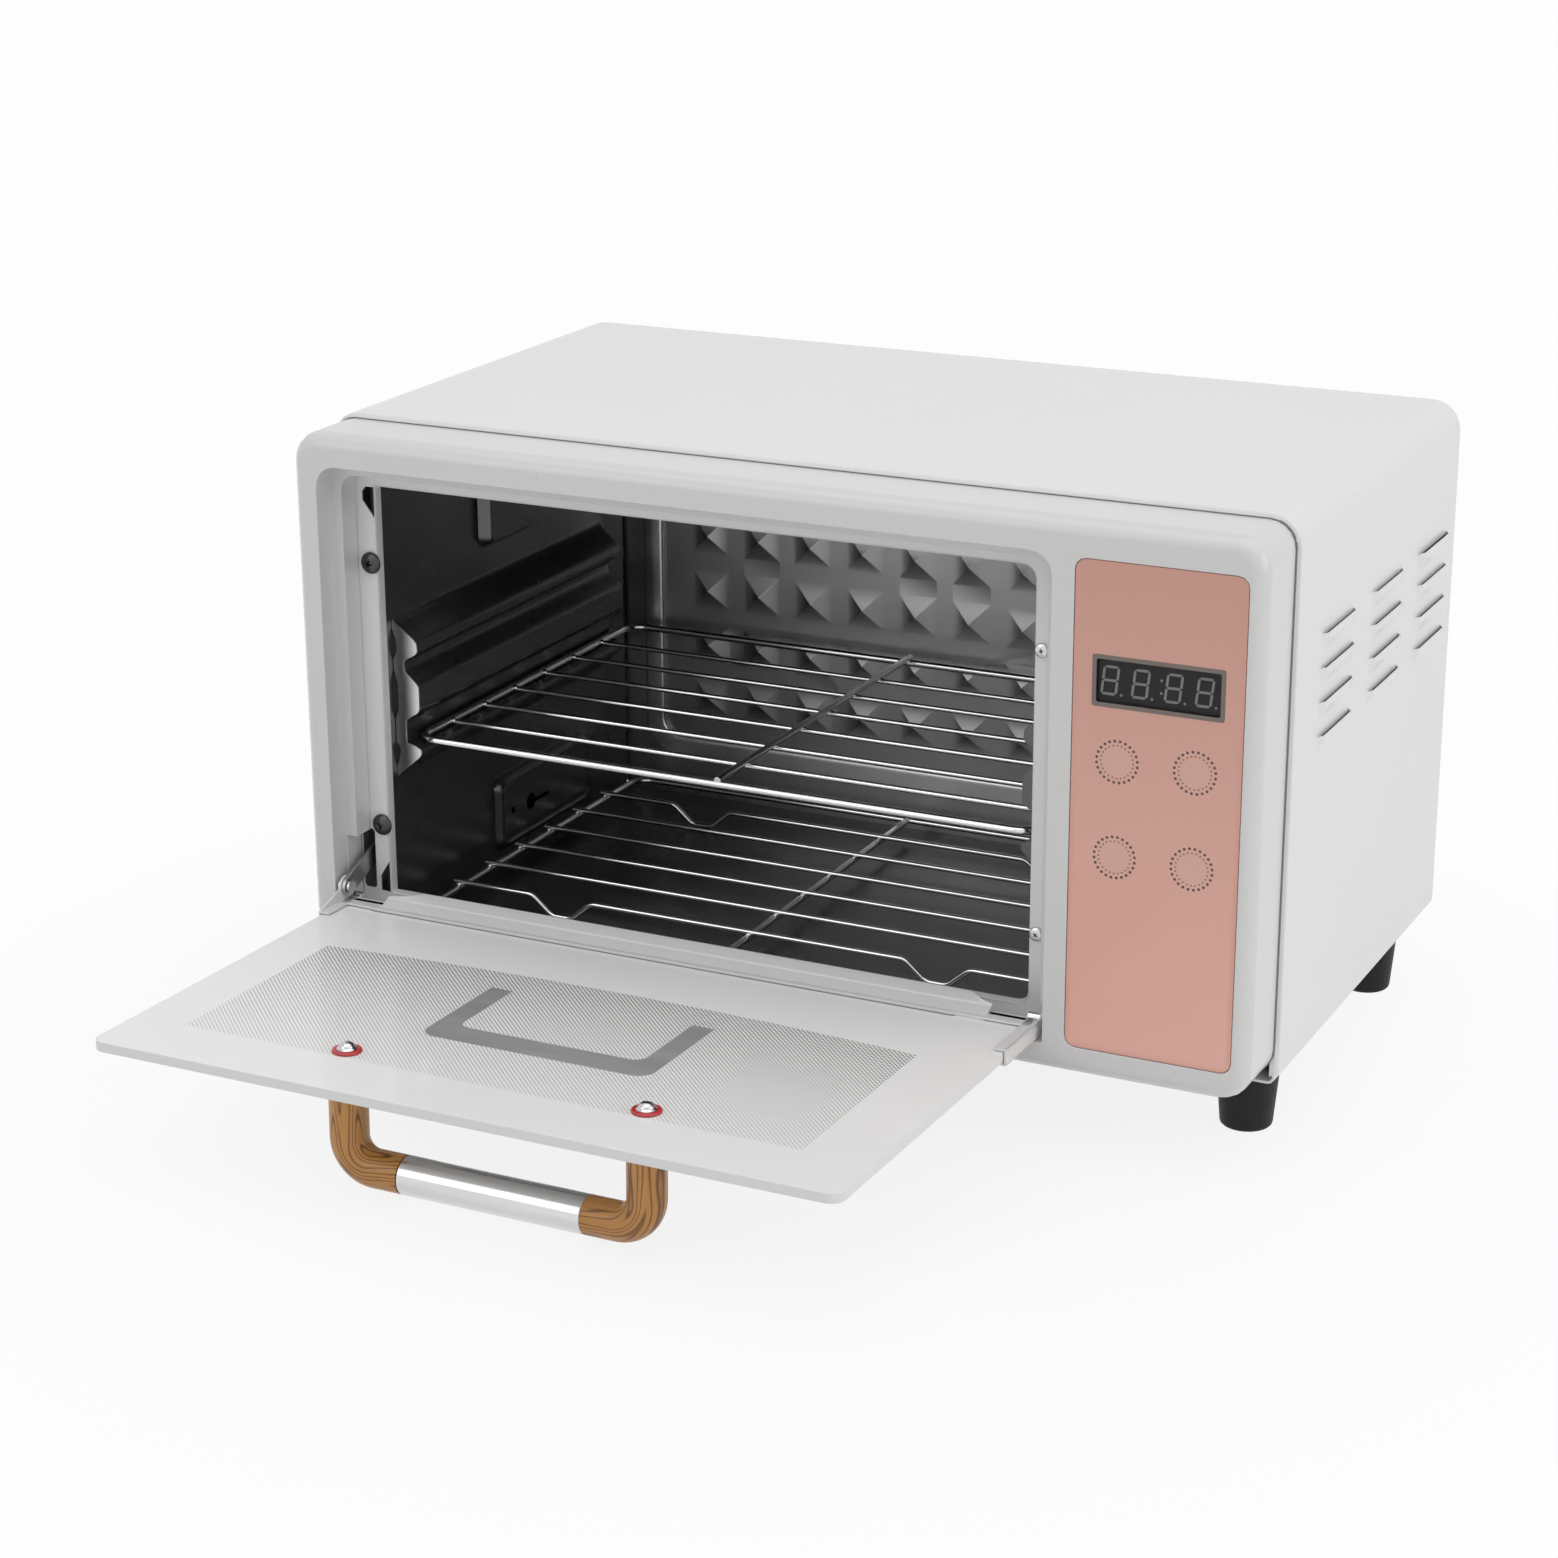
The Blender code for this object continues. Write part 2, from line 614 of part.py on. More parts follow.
def rear_cover(cabinet, mat):
    side = CABINET_WIDTH / 2 - CASE_SHEET - CLEARANCE
    top = CABINET_HEIGHT - CASE_SHEET - CLEARANCE
    foot = PAN_TOP + CLEARANCE
    points = case_profile(side, foot, top, CORNER_RADIUS - CASE_SHEET - CLEARANCE)
    cover = outline("rear_cover", points, CASE_SHEET, cabinet, (0, COVER_BACK - CASE_SHEET / 2, 0),
                    (math.pi / 2, 0, 0), mat)
    for column in range(VENT_COLUMNS):
        for row in range(VENT_ROWS):
            x = OPENING_CENTRE + (column - (VENT_COLUMNS - 1) / 2) * VENT_PITCH_X
            z = VENT_RISE + row * VENT_PITCH_Z
            low = (x - VENT_LENGTH / 2, COVER_FRONT - OVERRUN, z - VENT_GAP / 2)
            high = (x + VENT_LENGTH / 2, COVER_BACK + OVERRUN, z + VENT_GAP / 2)
            cut(cover, box(f"vent_cut_{column}_{row}", low, high, cabinet))
    hole = (INLET_WIDTH / 2 + CLEARANCE, INLET_HEIGHT / 2 + CLEARANCE)
    cut(cover, box("inlet_cut", (INLET_X - hole[0], COVER_FRONT - OVERRUN, INLET_RISE - hole[1]),
                   (INLET_X + hole[0], COVER_BACK + OVERRUN, INLET_RISE + hole[1]), cabinet))
    for number, (x, z) in enumerate(rear_screw_places()):
        hole = cylinder(f"rear_hole_{number}", REAR_SCREW_RADIUS + CLEARANCE, (x, COVER_FRONT - OVERRUN, z),
                        (x, COVER_BACK + OVERRUN, z), cabinet)
        cut(cover, hole)
    return cover


def rear_screw_places():
    side = CABINET_WIDTH / 2 - REAR_SCREW_INSET
    rises = (PAN_FLANGE + REAR_SCREW_INSET, CABINET_HEIGHT - REAR_SCREW_INSET)
    return [(x, z) for x in (-side, side) for z in rises]


def screw_profile(head, dome, shares, radius, length):
    """A domed head over a plain shank."""
    points = [(head * out, dome * rise) for out, rise in shares]
    return points + [(radius, 0), (radius, -length), (0, -length)]


def rear_screws(cabinet, mat):
    profile = screw_profile(REAR_SCREW_HEAD, REAR_SCREW_DOME, DOME_SHARES, REAR_SCREW_RADIUS,
                            REAR_SCREW_LENGTH)
    for number, (x, z) in enumerate(rear_screw_places(), 1):
        seat = (x, COVER_BACK + CLEARANCE, z)
        turned(f"rear_screw_{number}", profile, cabinet, seat, mat, SCREW_SIDES, (0, 1, 0))


# Front bezel

def bezel_body(cabinet, mat):
    """The drafted, rounded outer form with the rim that the shell slides over."""
    half = CABINET_WIDTH / 2
    body = box("front_bezel", (-half, 0, 0), (half, BEZEL_DEPTH - CLEARANCE, CABINET_HEIGHT), cabinet, mat)
    for vert in body.data.vertices:
        if vert.co.y < 0:
            vert.co.x -= math.copysign(BEZEL_DRAFT, vert.co.x)
            vert.co.z -= math.copysign(BEZEL_DRAFT, vert.co.z)
    round_edges(body, 1, CORNER_RADIUS, 5)
    round_face_rim(body, 1, -1, BEZEL_EDGE, 3)
    side = half - CASE_SHEET - CLEARANCE
    rim = box("bezel_rim", (-side, BEZEL_DEPTH - RIM_LENGTH / 2, RIM_RISE),
              (side, BEZEL_DEPTH + RIM_LENGTH, CABINET_HEIGHT - CASE_SHEET - CLEARANCE), cabinet)
    round_edges(rim, 1, CORNER_RADIUS - CASE_SHEET - CLEARANCE, 5, Vector((0, 0, 1)))
    return fuse(body, rim)


def hollow_bezel(body, cabinet):
    """Leaves the outer walls and the walls round the door opening."""
    side = CABINET_WIDTH / 2 - BEZEL_DRAFT - BEZEL_WALL
    hollow = box("bezel_hollow", (-side, BEZEL_FACE_WALL, BEZEL_WALL),
                 (side, BACK_OF_CUT, CABINET_HEIGHT - BEZEL_DRAFT - BEZEL_WALL), cabinet)
    round_edges(hollow, 1, CORNER_RADIUS - BEZEL_WALL, 4)
    reach = OPENING_HALF_WIDTH + OPENING_WALL
    core = box("bezel_core", (OPENING_CENTRE - reach, 0, SILL_RISE - OPENING_WALL),
               (OPENING_CENTRE + reach, BACK_OF_CUT + OVERRUN, OPENING_TOP + OPENING_WALL), cabinet)
    round_edges(core, 1, OPENING_CORNER, 4, Vector((0, 0, 1)))
    cut(hollow, core)
    cut(body, hollow)
    margin = OPENING_HALF_WIDTH
    pocket = box("frame_pocket", (OPENING_CENTRE - margin, FRAME_BACK - CLEARANCE, PAN_BOTTOM - OVERRUN),
                 (OPENING_CENTRE + margin, BACK_OF_CUT, frame_top() + CLEARANCE), cabinet)
    return cut(body, pocket)


def frame_top():
    return CABINET_HEIGHT - BEZEL_DRAFT - BEZEL_WALL - CLEARANCE


def open_bezel(body, cabinet):
    """The stepped door opening, the notches beside the hinge and the bores for its pins."""
    outer = box("opening_outer", (OPENING_CENTRE - OPENING_HALF_WIDTH, -OVERRUN, SILL_RISE),
                (OPENING_CENTRE + OPENING_HALF_WIDTH, LEDGE_BACK, OPENING_TOP), cabinet)
    round_edges(outer, 1, OPENING_CORNER, 4, Vector((0, 0, 1)))
    cut(body, outer)
    inner = box("opening_inner", (OPENING_CENTRE - LEDGE_HALF_WIDTH, 0, SILL_RISE),
                (OPENING_CENTRE + LEDGE_HALF_WIDTH, BACK_OF_CUT, LEDGE_TOP), cabinet)
    round_edges(inner, 1, OPENING_CORNER - LEDGE_WIDTH / 2, 4, Vector((0, 0, 1)))
    cut(body, inner)
    inside = LEDGE_HALF_WIDTH - OVERRUN
    outside = OPENING_HALF_WIDTH - CLEARANCE
    for side, top in ((-1, SLOT_RISE + SLOT_HEIGHT), (1, HINGE_RISE + KNUCKLE_RADIUS + OVERRUN)):
        x = sorted((OPENING_CENTRE + side * inside, OPENING_CENTRE + side * outside))
        notch = box(f"hinge_notch_{side}", (x[0], LEDGE_BACK / 2, SILL_RISE),
                    (x[1], FRAME_BACK + OVERRUN, top), cabinet)
        cut(body, notch)
        bore = cylinder(f"pin_bore_{side}", PIN_RADIUS + CLEARANCE,
                        (OPENING_CENTRE + side * inside, HINGE_BACK, HINGE_RISE),
                        (OPENING_CENTRE + side * (OPENING_HALF_WIDTH + OPENING_WALL + OVERRUN), HINGE_BACK,
                         HINGE_RISE), cabinet)
        cut(body, bore)
    return body


def panel_seat(body, cabinet):
    """The shallow pocket for the control panel, the display's window and the posts of the board."""
    reach = PANEL_WIDTH / 2 + CLEARANCE
    floor = PANEL_RECESS + PANEL_SHEET + CLEARANCE
    pocket = box("panel_pocket", (PANEL_CENTRE - reach, -OVERRUN, PANEL_RISE - CLEARANCE),
                 (PANEL_CENTRE + reach, floor, PANEL_RISE + PANEL_HEIGHT + CLEARANCE), cabinet)
    round_edges(pocket, 1, PANEL_CORNER + CLEARANCE, 3)
    cut(body, pocket)
    reach = DISPLAY_WIDTH / 2 - DISPLAY_EDGE + CLEARANCE
    window = box("display_cut", (PANEL_CENTRE - reach, 0, DISPLAY_RISE + DISPLAY_EDGE - CLEARANCE),
                 (PANEL_CENTRE + reach, BEZEL_FACE_WALL + OVERRUN,
                  DISPLAY_RISE + DISPLAY_HEIGHT - DISPLAY_EDGE + CLEARANCE), cabinet)
    cut(body, window)
    for number, (x, z) in enumerate(post_places()):
        fuse(body, cylinder(f"post_{number}", POST_RADIUS, (x, BEZEL_FACE_WALL / 2 + PANEL_SHEET, z),
                            (x, BOARD_BACK - CLEARANCE, z), cabinet, None, COARSE_SIDES))
    return body


def post_places():
    inset = BOARD_MARGIN + POST_RADIUS * 2
    side = PANEL_WIDTH / 2 - inset
    rises = (PANEL_RISE + inset, PANEL_RISE + PANEL_HEIGHT - inset)
    return [(PANEL_CENTRE + sign * side, z) for sign in (-1, 1) for z in rises]


def front_bezel(cabinet, mat):
    body = bezel_body(cabinet, mat)
    hollow_bezel(body, cabinet)
    open_bezel(body, cabinet)
    panel_seat(body, cabinet)
    return smooth(body)


# Control panel

def control_panel(cabinet, mats):
    low = (PANEL_CENTRE - PANEL_WIDTH / 2, PANEL_RECESS, PANEL_RISE)
    high = (PANEL_CENTRE + PANEL_WIDTH / 2, PANEL_RECESS + PANEL_SHEET, PANEL_RISE + PANEL_HEIGHT)
    panel = round_edges(box("control_panel", low, high, cabinet, mats["rose"]), 1, PANEL_CORNER, 3)
    half = DISPLAY_WIDTH / 2
    back = PANEL_RECESS + PANEL_SHEET
    top = DISPLAY_RISE + DISPLAY_HEIGHT
    room = half + CLEARANCE
    window = box("window_cut", (PANEL_CENTRE - room, PANEL_RECESS - OVERRUN, DISPLAY_RISE - CLEARANCE),
                 (PANEL_CENTRE + room, back + OVERRUN, top + CLEARANCE), cabinet)
    cut(panel, window)
    box("display_window", (PANEL_CENTRE - half, PANEL_RECESS, DISPLAY_RISE),
        (PANEL_CENTRE + half, back, top), cabinet, mats["smoked"])
    inner = half - DISPLAY_EDGE
    box("display_module", (PANEL_CENTRE - inner, back + CLEARANCE, DISPLAY_RISE + DISPLAY_EDGE),
        (PANEL_CENTRE + inner, BOARD_BACK - CLEARANCE, top - DISPLAY_EDGE), cabinet, mats["black"])
    side = PANEL_WIDTH / 2 - BOARD_MARGIN
    box("control_board", (PANEL_CENTRE - side, BOARD_BACK, PANEL_RISE + BOARD_MARGIN),
        (PANEL_CENTRE + side, BOARD_BACK + BOARD_SHEET, PANEL_RISE + PANEL_HEIGHT - BOARD_MARGIN), cabinet,
        mats["board"])
    for number, (x, z) in enumerate(button_places(), 1):
        cylinder(f"touch_spring_{number}", SPRING_RADIUS, (x, BEZEL_FACE_WALL + CLEARANCE, z),
                 (x, BOARD_BACK - CLEARANCE, z), cabinet, mats["spring"], SCREW_SIDES)


def button_places():
    return [(PANEL_CENTRE + sign * BUTTON_PITCH_X / 2, BUTTON_RISE + row * BUTTON_PITCH_Z)
            for row in (0, 1) for sign in (-1, 1)]


# Cavity

def cavity_frame(cabinet, mat):
    """The white rim of the cavity's mouth, with the link arm's slot and reliefs in two corners."""
    reach = OPENING_HALF_WIDTH - CLEARANCE
    plate = box("cavity_frame", (OPENING_CENTRE - reach, FRAME_BACK, CAVITY_FLOOR - CAVITY_SHEET),
                (OPENING_CENTRE + reach, FRAME_BACK + FRAME_SHEET, frame_top()), cabinet, mat)
    mouth = box("mouth_cut", (OPENING_CENTRE - MOUTH_HALF_WIDTH, FRAME_BACK - OVERRUN, MOUTH_SILL),
                (OPENING_CENTRE + MOUTH_HALF_WIDTH, FRAME_BACK + FRAME_SHEET + OVERRUN, MOUTH_TOP), cabinet)
    round_edges(mouth, 1, MOUTH_CORNER, 4)
    cut(plate, mouth)
    slot_left = OPENING_CENTRE - OPENING_HALF_WIDTH + CLEARANCE * 2
    behind = FRAME_BACK + FRAME_SHEET + OVERRUN
    slot = box("slot_cut", (slot_left, FRAME_BACK - OVERRUN, SLOT_RISE),
               (slot_left + SLOT_WIDTH, behind, SLOT_RISE + SLOT_HEIGHT), cabinet)
    cut(plate, slot)
    edge = OPENING_CENTRE - MOUTH_HALF_WIDTH
    for word, low in (("upper", MOUTH_TOP - RELIEF_HEIGHT), ("lower", MOUTH_SILL + RELIEF_RIM)):
        high = low + RELIEF_HEIGHT - RELIEF_RIM
        relief = box(f"{word}_relief_cut", (edge - RELIEF_WIDTH, FRAME_BACK - OVERRUN, low),
                     (edge - RELIEF_RIM, behind, high), cabinet)
        cut(plate, relief)
    for number, (x, z) in enumerate(frame_screw_places()):
        hole = cylinder(f"frame_hole_{number}", FRAME_SCREW_RADIUS + CLEARANCE,
                        (x, FRAME_BACK - OVERRUN, z), (x, behind, z), cabinet)
        cut(plate, hole)
    return plate


def frame_screw_places():
    side = MOUTH_HALF_WIDTH + FRAME_SCREW_INSET
    return [(OPENING_CENTRE + sign * side, z) for sign in (-1, 1) for z in FRAME_SCREW_RISES]


def frame_screws(cabinet, mat):
    profile = screw_profile(FRAME_SCREW_HEAD, FRAME_SCREW_DOME, DOME_SHARES, FRAME_SCREW_RADIUS,
                            FRAME_SCREW_LENGTH)
    for number, (x, z) in enumerate(frame_screw_places(), 1):
        seat = (x, FRAME_BACK - CLEARANCE, z)
        turned(f"frame_screw_{number}", profile, cabinet, seat, mat, MEDIUM_SIDES, (0, -1, 0))


def rib_profile(side):
    """Down the wall: ribs that reach into the cavity, with grooves and a shelf for a rack."""
    wall = CAVITY_HALF_WIDTH + CAVITY_SHEET / 2
    points = [(wall, CAVITY_CEILING - CLEARANCE)]
    points += [(wall - reach * RIB_REACH, RIB_RISE + rise * RIB_HEIGHT) for reach, rise in RIB_SHARES]
    points.append((wall, CAVITY_FLOOR + CLEARANCE))
    return [(OPENING_CENTRE + side * x, z) for x, z in points]


def cavity_wall(cabinet, side, name, mat):
    """A flat sheet whose middle is pressed into ribs, open at their front ends, with a boss above."""
    front = FRAME_BACK + FRAME_SHEET + CLEARANCE
    back = CAVITY_BACK - CLEARANCE
    points = rib_profile(side)
    wall = ribbon(name, points, RIB_FRONT, RIB_BACK - RIB_FRONT, CAVITY_SHEET, cabinet, mat)
    x = sorted((OPENING_CENTRE + side * CAVITY_HALF_WIDTH, OPENING_CENTRE + side * CAVITY_SIDE))
    foot = CAVITY_FLOOR + CLEARANCE
    top = CAVITY_CEILING - CLEARANCE
    fuse(wall, box(name + "_front", (x[0], front, foot), (x[1], RIB_FRONT + CAVITY_SHEET, top), cabinet))
    fuse(wall, box(name + "_back", (x[0], RIB_BACK - CAVITY_SHEET, foot), (x[1], back, top), cabinet))
    inner = OPENING_CENTRE + side * (CAVITY_HALF_WIDTH - BOSS_REACH)
    boss_x = sorted((inner, OPENING_CENTRE + side * (CAVITY_HALF_WIDTH + CAVITY_SHEET / 2)))
    boss_top = BOSS_RISE + BOSS_HEIGHT
    boss_back = BOSS_FRONT + BOSS_LENGTH
    fuse(wall, box(name + "_boss", (boss_x[0], BOSS_FRONT, BOSS_RISE), (boss_x[1], boss_back, boss_top),
                   cabinet))
    press = sorted((inner + side * CAVITY_SHEET, OPENING_CENTRE + side * (CAVITY_SIDE + OVERRUN)))
    cut(wall, box(name + "_press", (press[0], BOSS_FRONT + CAVITY_SHEET, BOSS_RISE + CAVITY_SHEET),
                  (press[1], boss_back - CAVITY_SHEET, boss_top - CAVITY_SHEET), cabinet))
    for number, z in enumerate(FRAME_SCREW_RISES):
        place_x = OPENING_CENTRE + side * (MOUTH_HALF_WIDTH + FRAME_SCREW_INSET)
        end = FRAME_BACK + FRAME_SCREW_LENGTH + OVERRUN
        hole = cylinder(f"{name}_hole_{number}", FRAME_SCREW_RADIUS + CLEARANCE, (place_x, FRAME_BACK, z),
                        (place_x, end, z), cabinet)
        cut(wall, hole)
    return wall


def cavity_panels(cabinet, mat):
    front = FRAME_BACK + FRAME_SHEET + CLEARANCE
    back = CAVITY_BACK - CLEARANCE
    left = OPENING_CENTRE - CAVITY_SIDE
    right = OPENING_CENTRE + CAVITY_SIDE
    box("cavity_floor", (left, front, CAVITY_FLOOR - CAVITY_SHEET), (right, back, CAVITY_FLOOR),
        cabinet, mat)
    box("cavity_ceiling", (left, front, CAVITY_CEILING), (right, back, CAVITY_CEILING + CAVITY_SHEET),
        cabinet, mat)


def cavity_back(cabinet, mat):
    """The back sheet with its pressed border and its field of pyramids."""
    low = (OPENING_CENTRE - CAVITY_SIDE, CAVITY_BACK, CAVITY_FLOOR - CAVITY_SHEET)
    high = (OPENING_CENTRE + CAVITY_SIDE, CAVITY_BACK + CAVITY_SHEET, CAVITY_CEILING + CAVITY_SHEET)
    sheet = box("cavity_back", low, high, cabinet, mat)
    field = bmesh.new()
    for column in range(PYRAMID_COLUMNS):
        for row in range(PYRAMID_ROWS):
            x = OPENING_CENTRE + PYRAMID_SHIFT + (column - (PYRAMID_COLUMNS - 1) / 2) * PYRAMID_PITCH
            z = PYRAMID_RISE + row * PYRAMID_PITCH
            tall = PYRAMID_HEIGHT + CAVITY_SHEET / 2
            corner = PYRAMID_SIZE / math.sqrt(2)
            made = bmesh.ops.create_cone(field, cap_ends=True, segments=4, radius1=corner, radius2=0,
                                         depth=tall)
            bmesh.ops.rotate(field, cent=(0, 0, 0), matrix=quarter_turns(), verts=made["verts"])
            middle = CAVITY_BACK - (PYRAMID_HEIGHT - CAVITY_SHEET / 2) / 2
            bmesh.ops.translate(field, vec=(x, middle, z), verts=made["verts"])
    mesh = bpy.data.meshes.new("pyramids")
    field.to_mesh(mesh)
    field.free()
    fuse(sheet, place("pyramids", mesh, cabinet, (0, 0, 0)))
    return sheet


def quarter_turns():
    """Turns a four-sided cone that stands on Z so that its sides are level and its tip points to -Y."""
    return Matrix.Rotation(math.pi / 2, 3, "X") @ Matrix.Rotation(math.pi / 4, 3, "Z")


# Lamp, heater and electrical pieces

def lamp(cabinet, mats):
    axis = CAVITY_CEILING - LAMP_DROP
    half = LAMP_LENGTH / 2
    cylinder("uv_lamp", LAMP_RADIUS, (OPENING_CENTRE - half, LAMP_BACK, axis),
             (OPENING_CENTRE + half, LAMP_BACK, axis), cabinet, mats["lamp"])
    for side, name in ((-1, "lamp_holder_left"), (1, "lamp_holder_right")):
        x = sorted((OPENING_CENTRE + side * (half + CLEARANCE),
                    OPENING_CENTRE + side * (half + CLEARANCE + HOLDER_LENGTH)))
        box(name, (x[0], LAMP_BACK - HOLDER_WIDTH / 2, CAVITY_CEILING - CLEARANCE - HOLDER_HEIGHT),
            (x[1], LAMP_BACK + HOLDER_WIDTH / 2, CAVITY_CEILING - CLEARANCE), cabinet, mats["porcelain"])
    top = CAVITY_CEILING - CLEARANCE - CAVITY_SHEET / 2
    side = REFLECTOR_WIDTH / 2
    reach = half - REFLECTOR_INSET
    reflector = box("lamp_reflector", (OPENING_CENTRE - reach, LAMP_BACK - side, top - REFLECTOR_LIP),
                    (OPENING_CENTRE + reach, LAMP_BACK + side, top), cabinet, mats["bright_steel"])
    bm = bmesh.new()
    bm.from_mesh(reflector.data)
    open_faces = [face for face in bm.faces if face.normal.z < -0.5 or abs(face.normal.x) > 0.5]
    bmesh.ops.delete(bm, geom=open_faces, context="FACES")
    bm.to_mesh(reflector.data)
    bm.free()
    solidify = reflector.modifiers.new("sheet", "SOLIDIFY")
    solidify.thickness = CAVITY_SHEET
    solidify.offset = 0
    solidify.use_even_offset = True


def electrical(cabinet, mats):
    right = POWER_BOARD_LEFT + POWER_BOARD_WIDTH
    back = POWER_BOARD_FRONT + POWER_BOARD_LENGTH
    level = PAN_TOP + STANDOFF_HEIGHT
    board = box("power_board", (POWER_BOARD_LEFT, POWER_BOARD_FRONT, level),
                (right, back, level + BOARD_SHEET), cabinet, mats["board"])
    inset = STANDOFF_RADIUS + BOARD_MARGIN / 2
    for x in (POWER_BOARD_LEFT + inset, right - inset):
        for y in (POWER_BOARD_FRONT + inset, back - inset):
            fuse(board, cylinder(f"standoff_{x:.3f}_{y:.3f}", STANDOFF_RADIUS, (x, y, PAN_TOP + CLEARANCE),
                                 (x, y, level + BOARD_SHEET / 2), cabinet, None, COARSE_SIDES))
    middle = (POWER_BOARD_LEFT + right) / 2
    start = (POWER_BOARD_FRONT + back - BALLAST_LENGTH) / 2
    foot = level + BOARD_SHEET + CLEARANCE
    box("lamp_ballast", (middle - BALLAST_WIDTH / 2, start, foot),
        (middle + BALLAST_WIDTH / 2, start + BALLAST_LENGTH, foot + BALLAST_HEIGHT), cabinet, mats["black"])
    wall = OPENING_CENTRE + CAVITY_SIDE + CLEARANCE
    cylinder("thermostat", THERMOSTAT_RADIUS, (wall, THERMOSTAT_BACK, THERMOSTAT_RISE),
             (wall + THERMOSTAT_DEPTH, THERMOSTAT_BACK, THERMOSTAT_RISE), cabinet, mats["bright_steel"])
    front = CAVITY_BACK + CAVITY_SHEET + CLEARANCE
    reach = HEATER_WIDTH / 2
    box("drying_heater", (OPENING_CENTRE - reach, front, HEATER_RISE),
        (OPENING_CENTRE + reach, front + HEATER_SHEET, HEATER_RISE + HEATER_HEIGHT), cabinet, mats["mica"])


def door_switch(cabinet, mat):
    """The interlock that the link arm's tail presses when the door is shut."""
    outer = OPENING_CENTRE - CAVITY_SIDE - CLEARANCE
    slope = math.radians(ARM_SLOPE)
    tail = ARM_LENGTH + ARM_WIDTH / 2
    shut_y = HINGE_BACK + RIVET_IN + tail * math.cos(slope)
    shut_z = HINGE_RISE + RIVET_UP + ARM_LENGTH * math.sin(slope)
    start = shut_y + SWITCH_GAP
    box("door_switch", (outer - SWITCH_WIDTH, start, shut_z - SWITCH_HEIGHT / 2),
        (outer, start + SWITCH_LENGTH, shut_z + SWITCH_HEIGHT / 2), cabinet, mat)


def inlet_box(name, width, height, front, back, cabinet, mat=None):
    low = (INLET_X - width / 2, front, INLET_RISE - height / 2)
    return box(name, low, (INLET_X + width / 2, back, INLET_RISE + height / 2), cabinet, mat)


def power_inlet(cabinet, mat):
    """A flush two-pin inlet in the rear cover."""
    seat = COVER_BACK + CLEARANCE
    back = seat + INLET_FLANGE_SHEET
    body = inlet_box("power_inlet", INLET_WIDTH, INLET_HEIGHT, back - INLET_LENGTH, back, cabinet, mat)
    wide = INLET_WIDTH + INLET_FLANGE * 2
    fuse(body, inlet_box("inlet_flange", wide, INLET_HEIGHT + INLET_FLANGE, seat, back, cabinet))
    floor = back - SOCKET_DEPTH
    cut(body, inlet_box("inlet_socket", SOCKET_WIDTH, SOCKET_HEIGHT, floor, back + OVERRUN, cabinet))
    for sign in (-1, 1):
        x = INLET_X + sign * SOCKET_PIN_PLACE
        pin = cylinder(f"inlet_pin_{sign}", SOCKET_PIN_RADIUS, (x, floor - SOCKET_PIN_RADIUS, INLET_RISE),
                       (x, back - INLET_FLANGE_SHEET, INLET_RISE), cabinet, None, COARSE_SIDES)
        fuse(body, pin)
    return body


# Feet

def foot_places():
    return [(x, y) for y in (FOOT_FRONT, FOOT_BACK) for x in (-FOOT_X, FOOT_X)]


def feet(cabinet, mats):
    names = ("front_left", "front_right", "rear_left", "rear_right")
    top = PAN_BOTTOM - CLEARANCE
    bore = FOOT_SCREW_RADIUS + CLEARANCE
    for name, (x, y) in zip(names, foot_places()):
        edge = FOOT_BOTTOM_RADIUS - FOOT_ROUNDING
        rounding = arc((edge, -FOOT_HEIGHT + FOOT_ROUNDING), FOOT_ROUNDING, 0, -90, 3)
        profile = [(bore, 0), (FOOT_TOP_RADIUS, 0)] + rounding
        profile += [(FOOT_RECESS_RADIUS, -FOOT_HEIGHT), (FOOT_RECESS_RADIUS, -FOOT_HEIGHT + FOOT_RECESS),
                    (bore, -FOOT_HEIGHT + FOOT_RECESS), (bore, 0)]
        turned(f"foot_{name}", profile, cabinet, (x, y, top), mats["rubber"], FINE_SIDES)
        seat = -FOOT_HEIGHT + FOOT_RECESS - CLEARANCE
        tip = -seat - CLEARANCE + CASE_SHEET + FOOT_SCREW_TIP
        screw = [(0, tip), (FOOT_SCREW_RADIUS, tip), (FOOT_SCREW_RADIUS, 0), (FOOT_SCREW_HEAD, 0),
                 (FOOT_SCREW_HEAD, -FOOT_SCREW_HEAD_HEIGHT), (0, -FOOT_SCREW_HEAD_HEIGHT)]
        turned(f"foot_screw_{name}", screw, cabinet, (x, y, top + seat), mats["zinc"], SCREW_SIDES)


# Door

def door_glass(door, mat):
    points = rounded_rectangle(-DOOR_HALF_WIDTH, DOOR_BOTTOM, DOOR_HALF_WIDTH, DOOR_TOP, DOOR_CORNER)
    upright = (math.pi / 2, 0, 0)
    glass = outline("door_glass", points, DOOR_GLASS, door, (0, -DOOR_GLASS / 2, 0), upright, mat)
    for sign in (-1, 1):
        x = sign * HANDLE_HALF_SPACING
        z = DOOR_TOP - HANDLE_FROM_TOP
        hole = cylinder(f"glass_hole_{sign}", HANDLE_SCREW_RADIUS + CLEARANCE,
                        (x, -DOOR_GLASS - OVERRUN, z), (x, OVERRUN, z), door)
        cut(glass, hole)
    return glass


def clip_outline(length, inner, outer, ear):
    """The side plate of one clip: round its knuckle below, with the link's ear on the left one."""
    points = [(outer, length), (inner, length)]
    if ear:
        points += arc((RIVET_IN, RIVET_UP), EAR_RADIUS, 90, -30, 6)
    else:
        points.append((inner, KNUCKLE_RADIUS))
    return points + arc((0, 0), KNUCKLE_RADIUS, 0, -180, 8) + [(outer, DOOR_BOTTOM)]


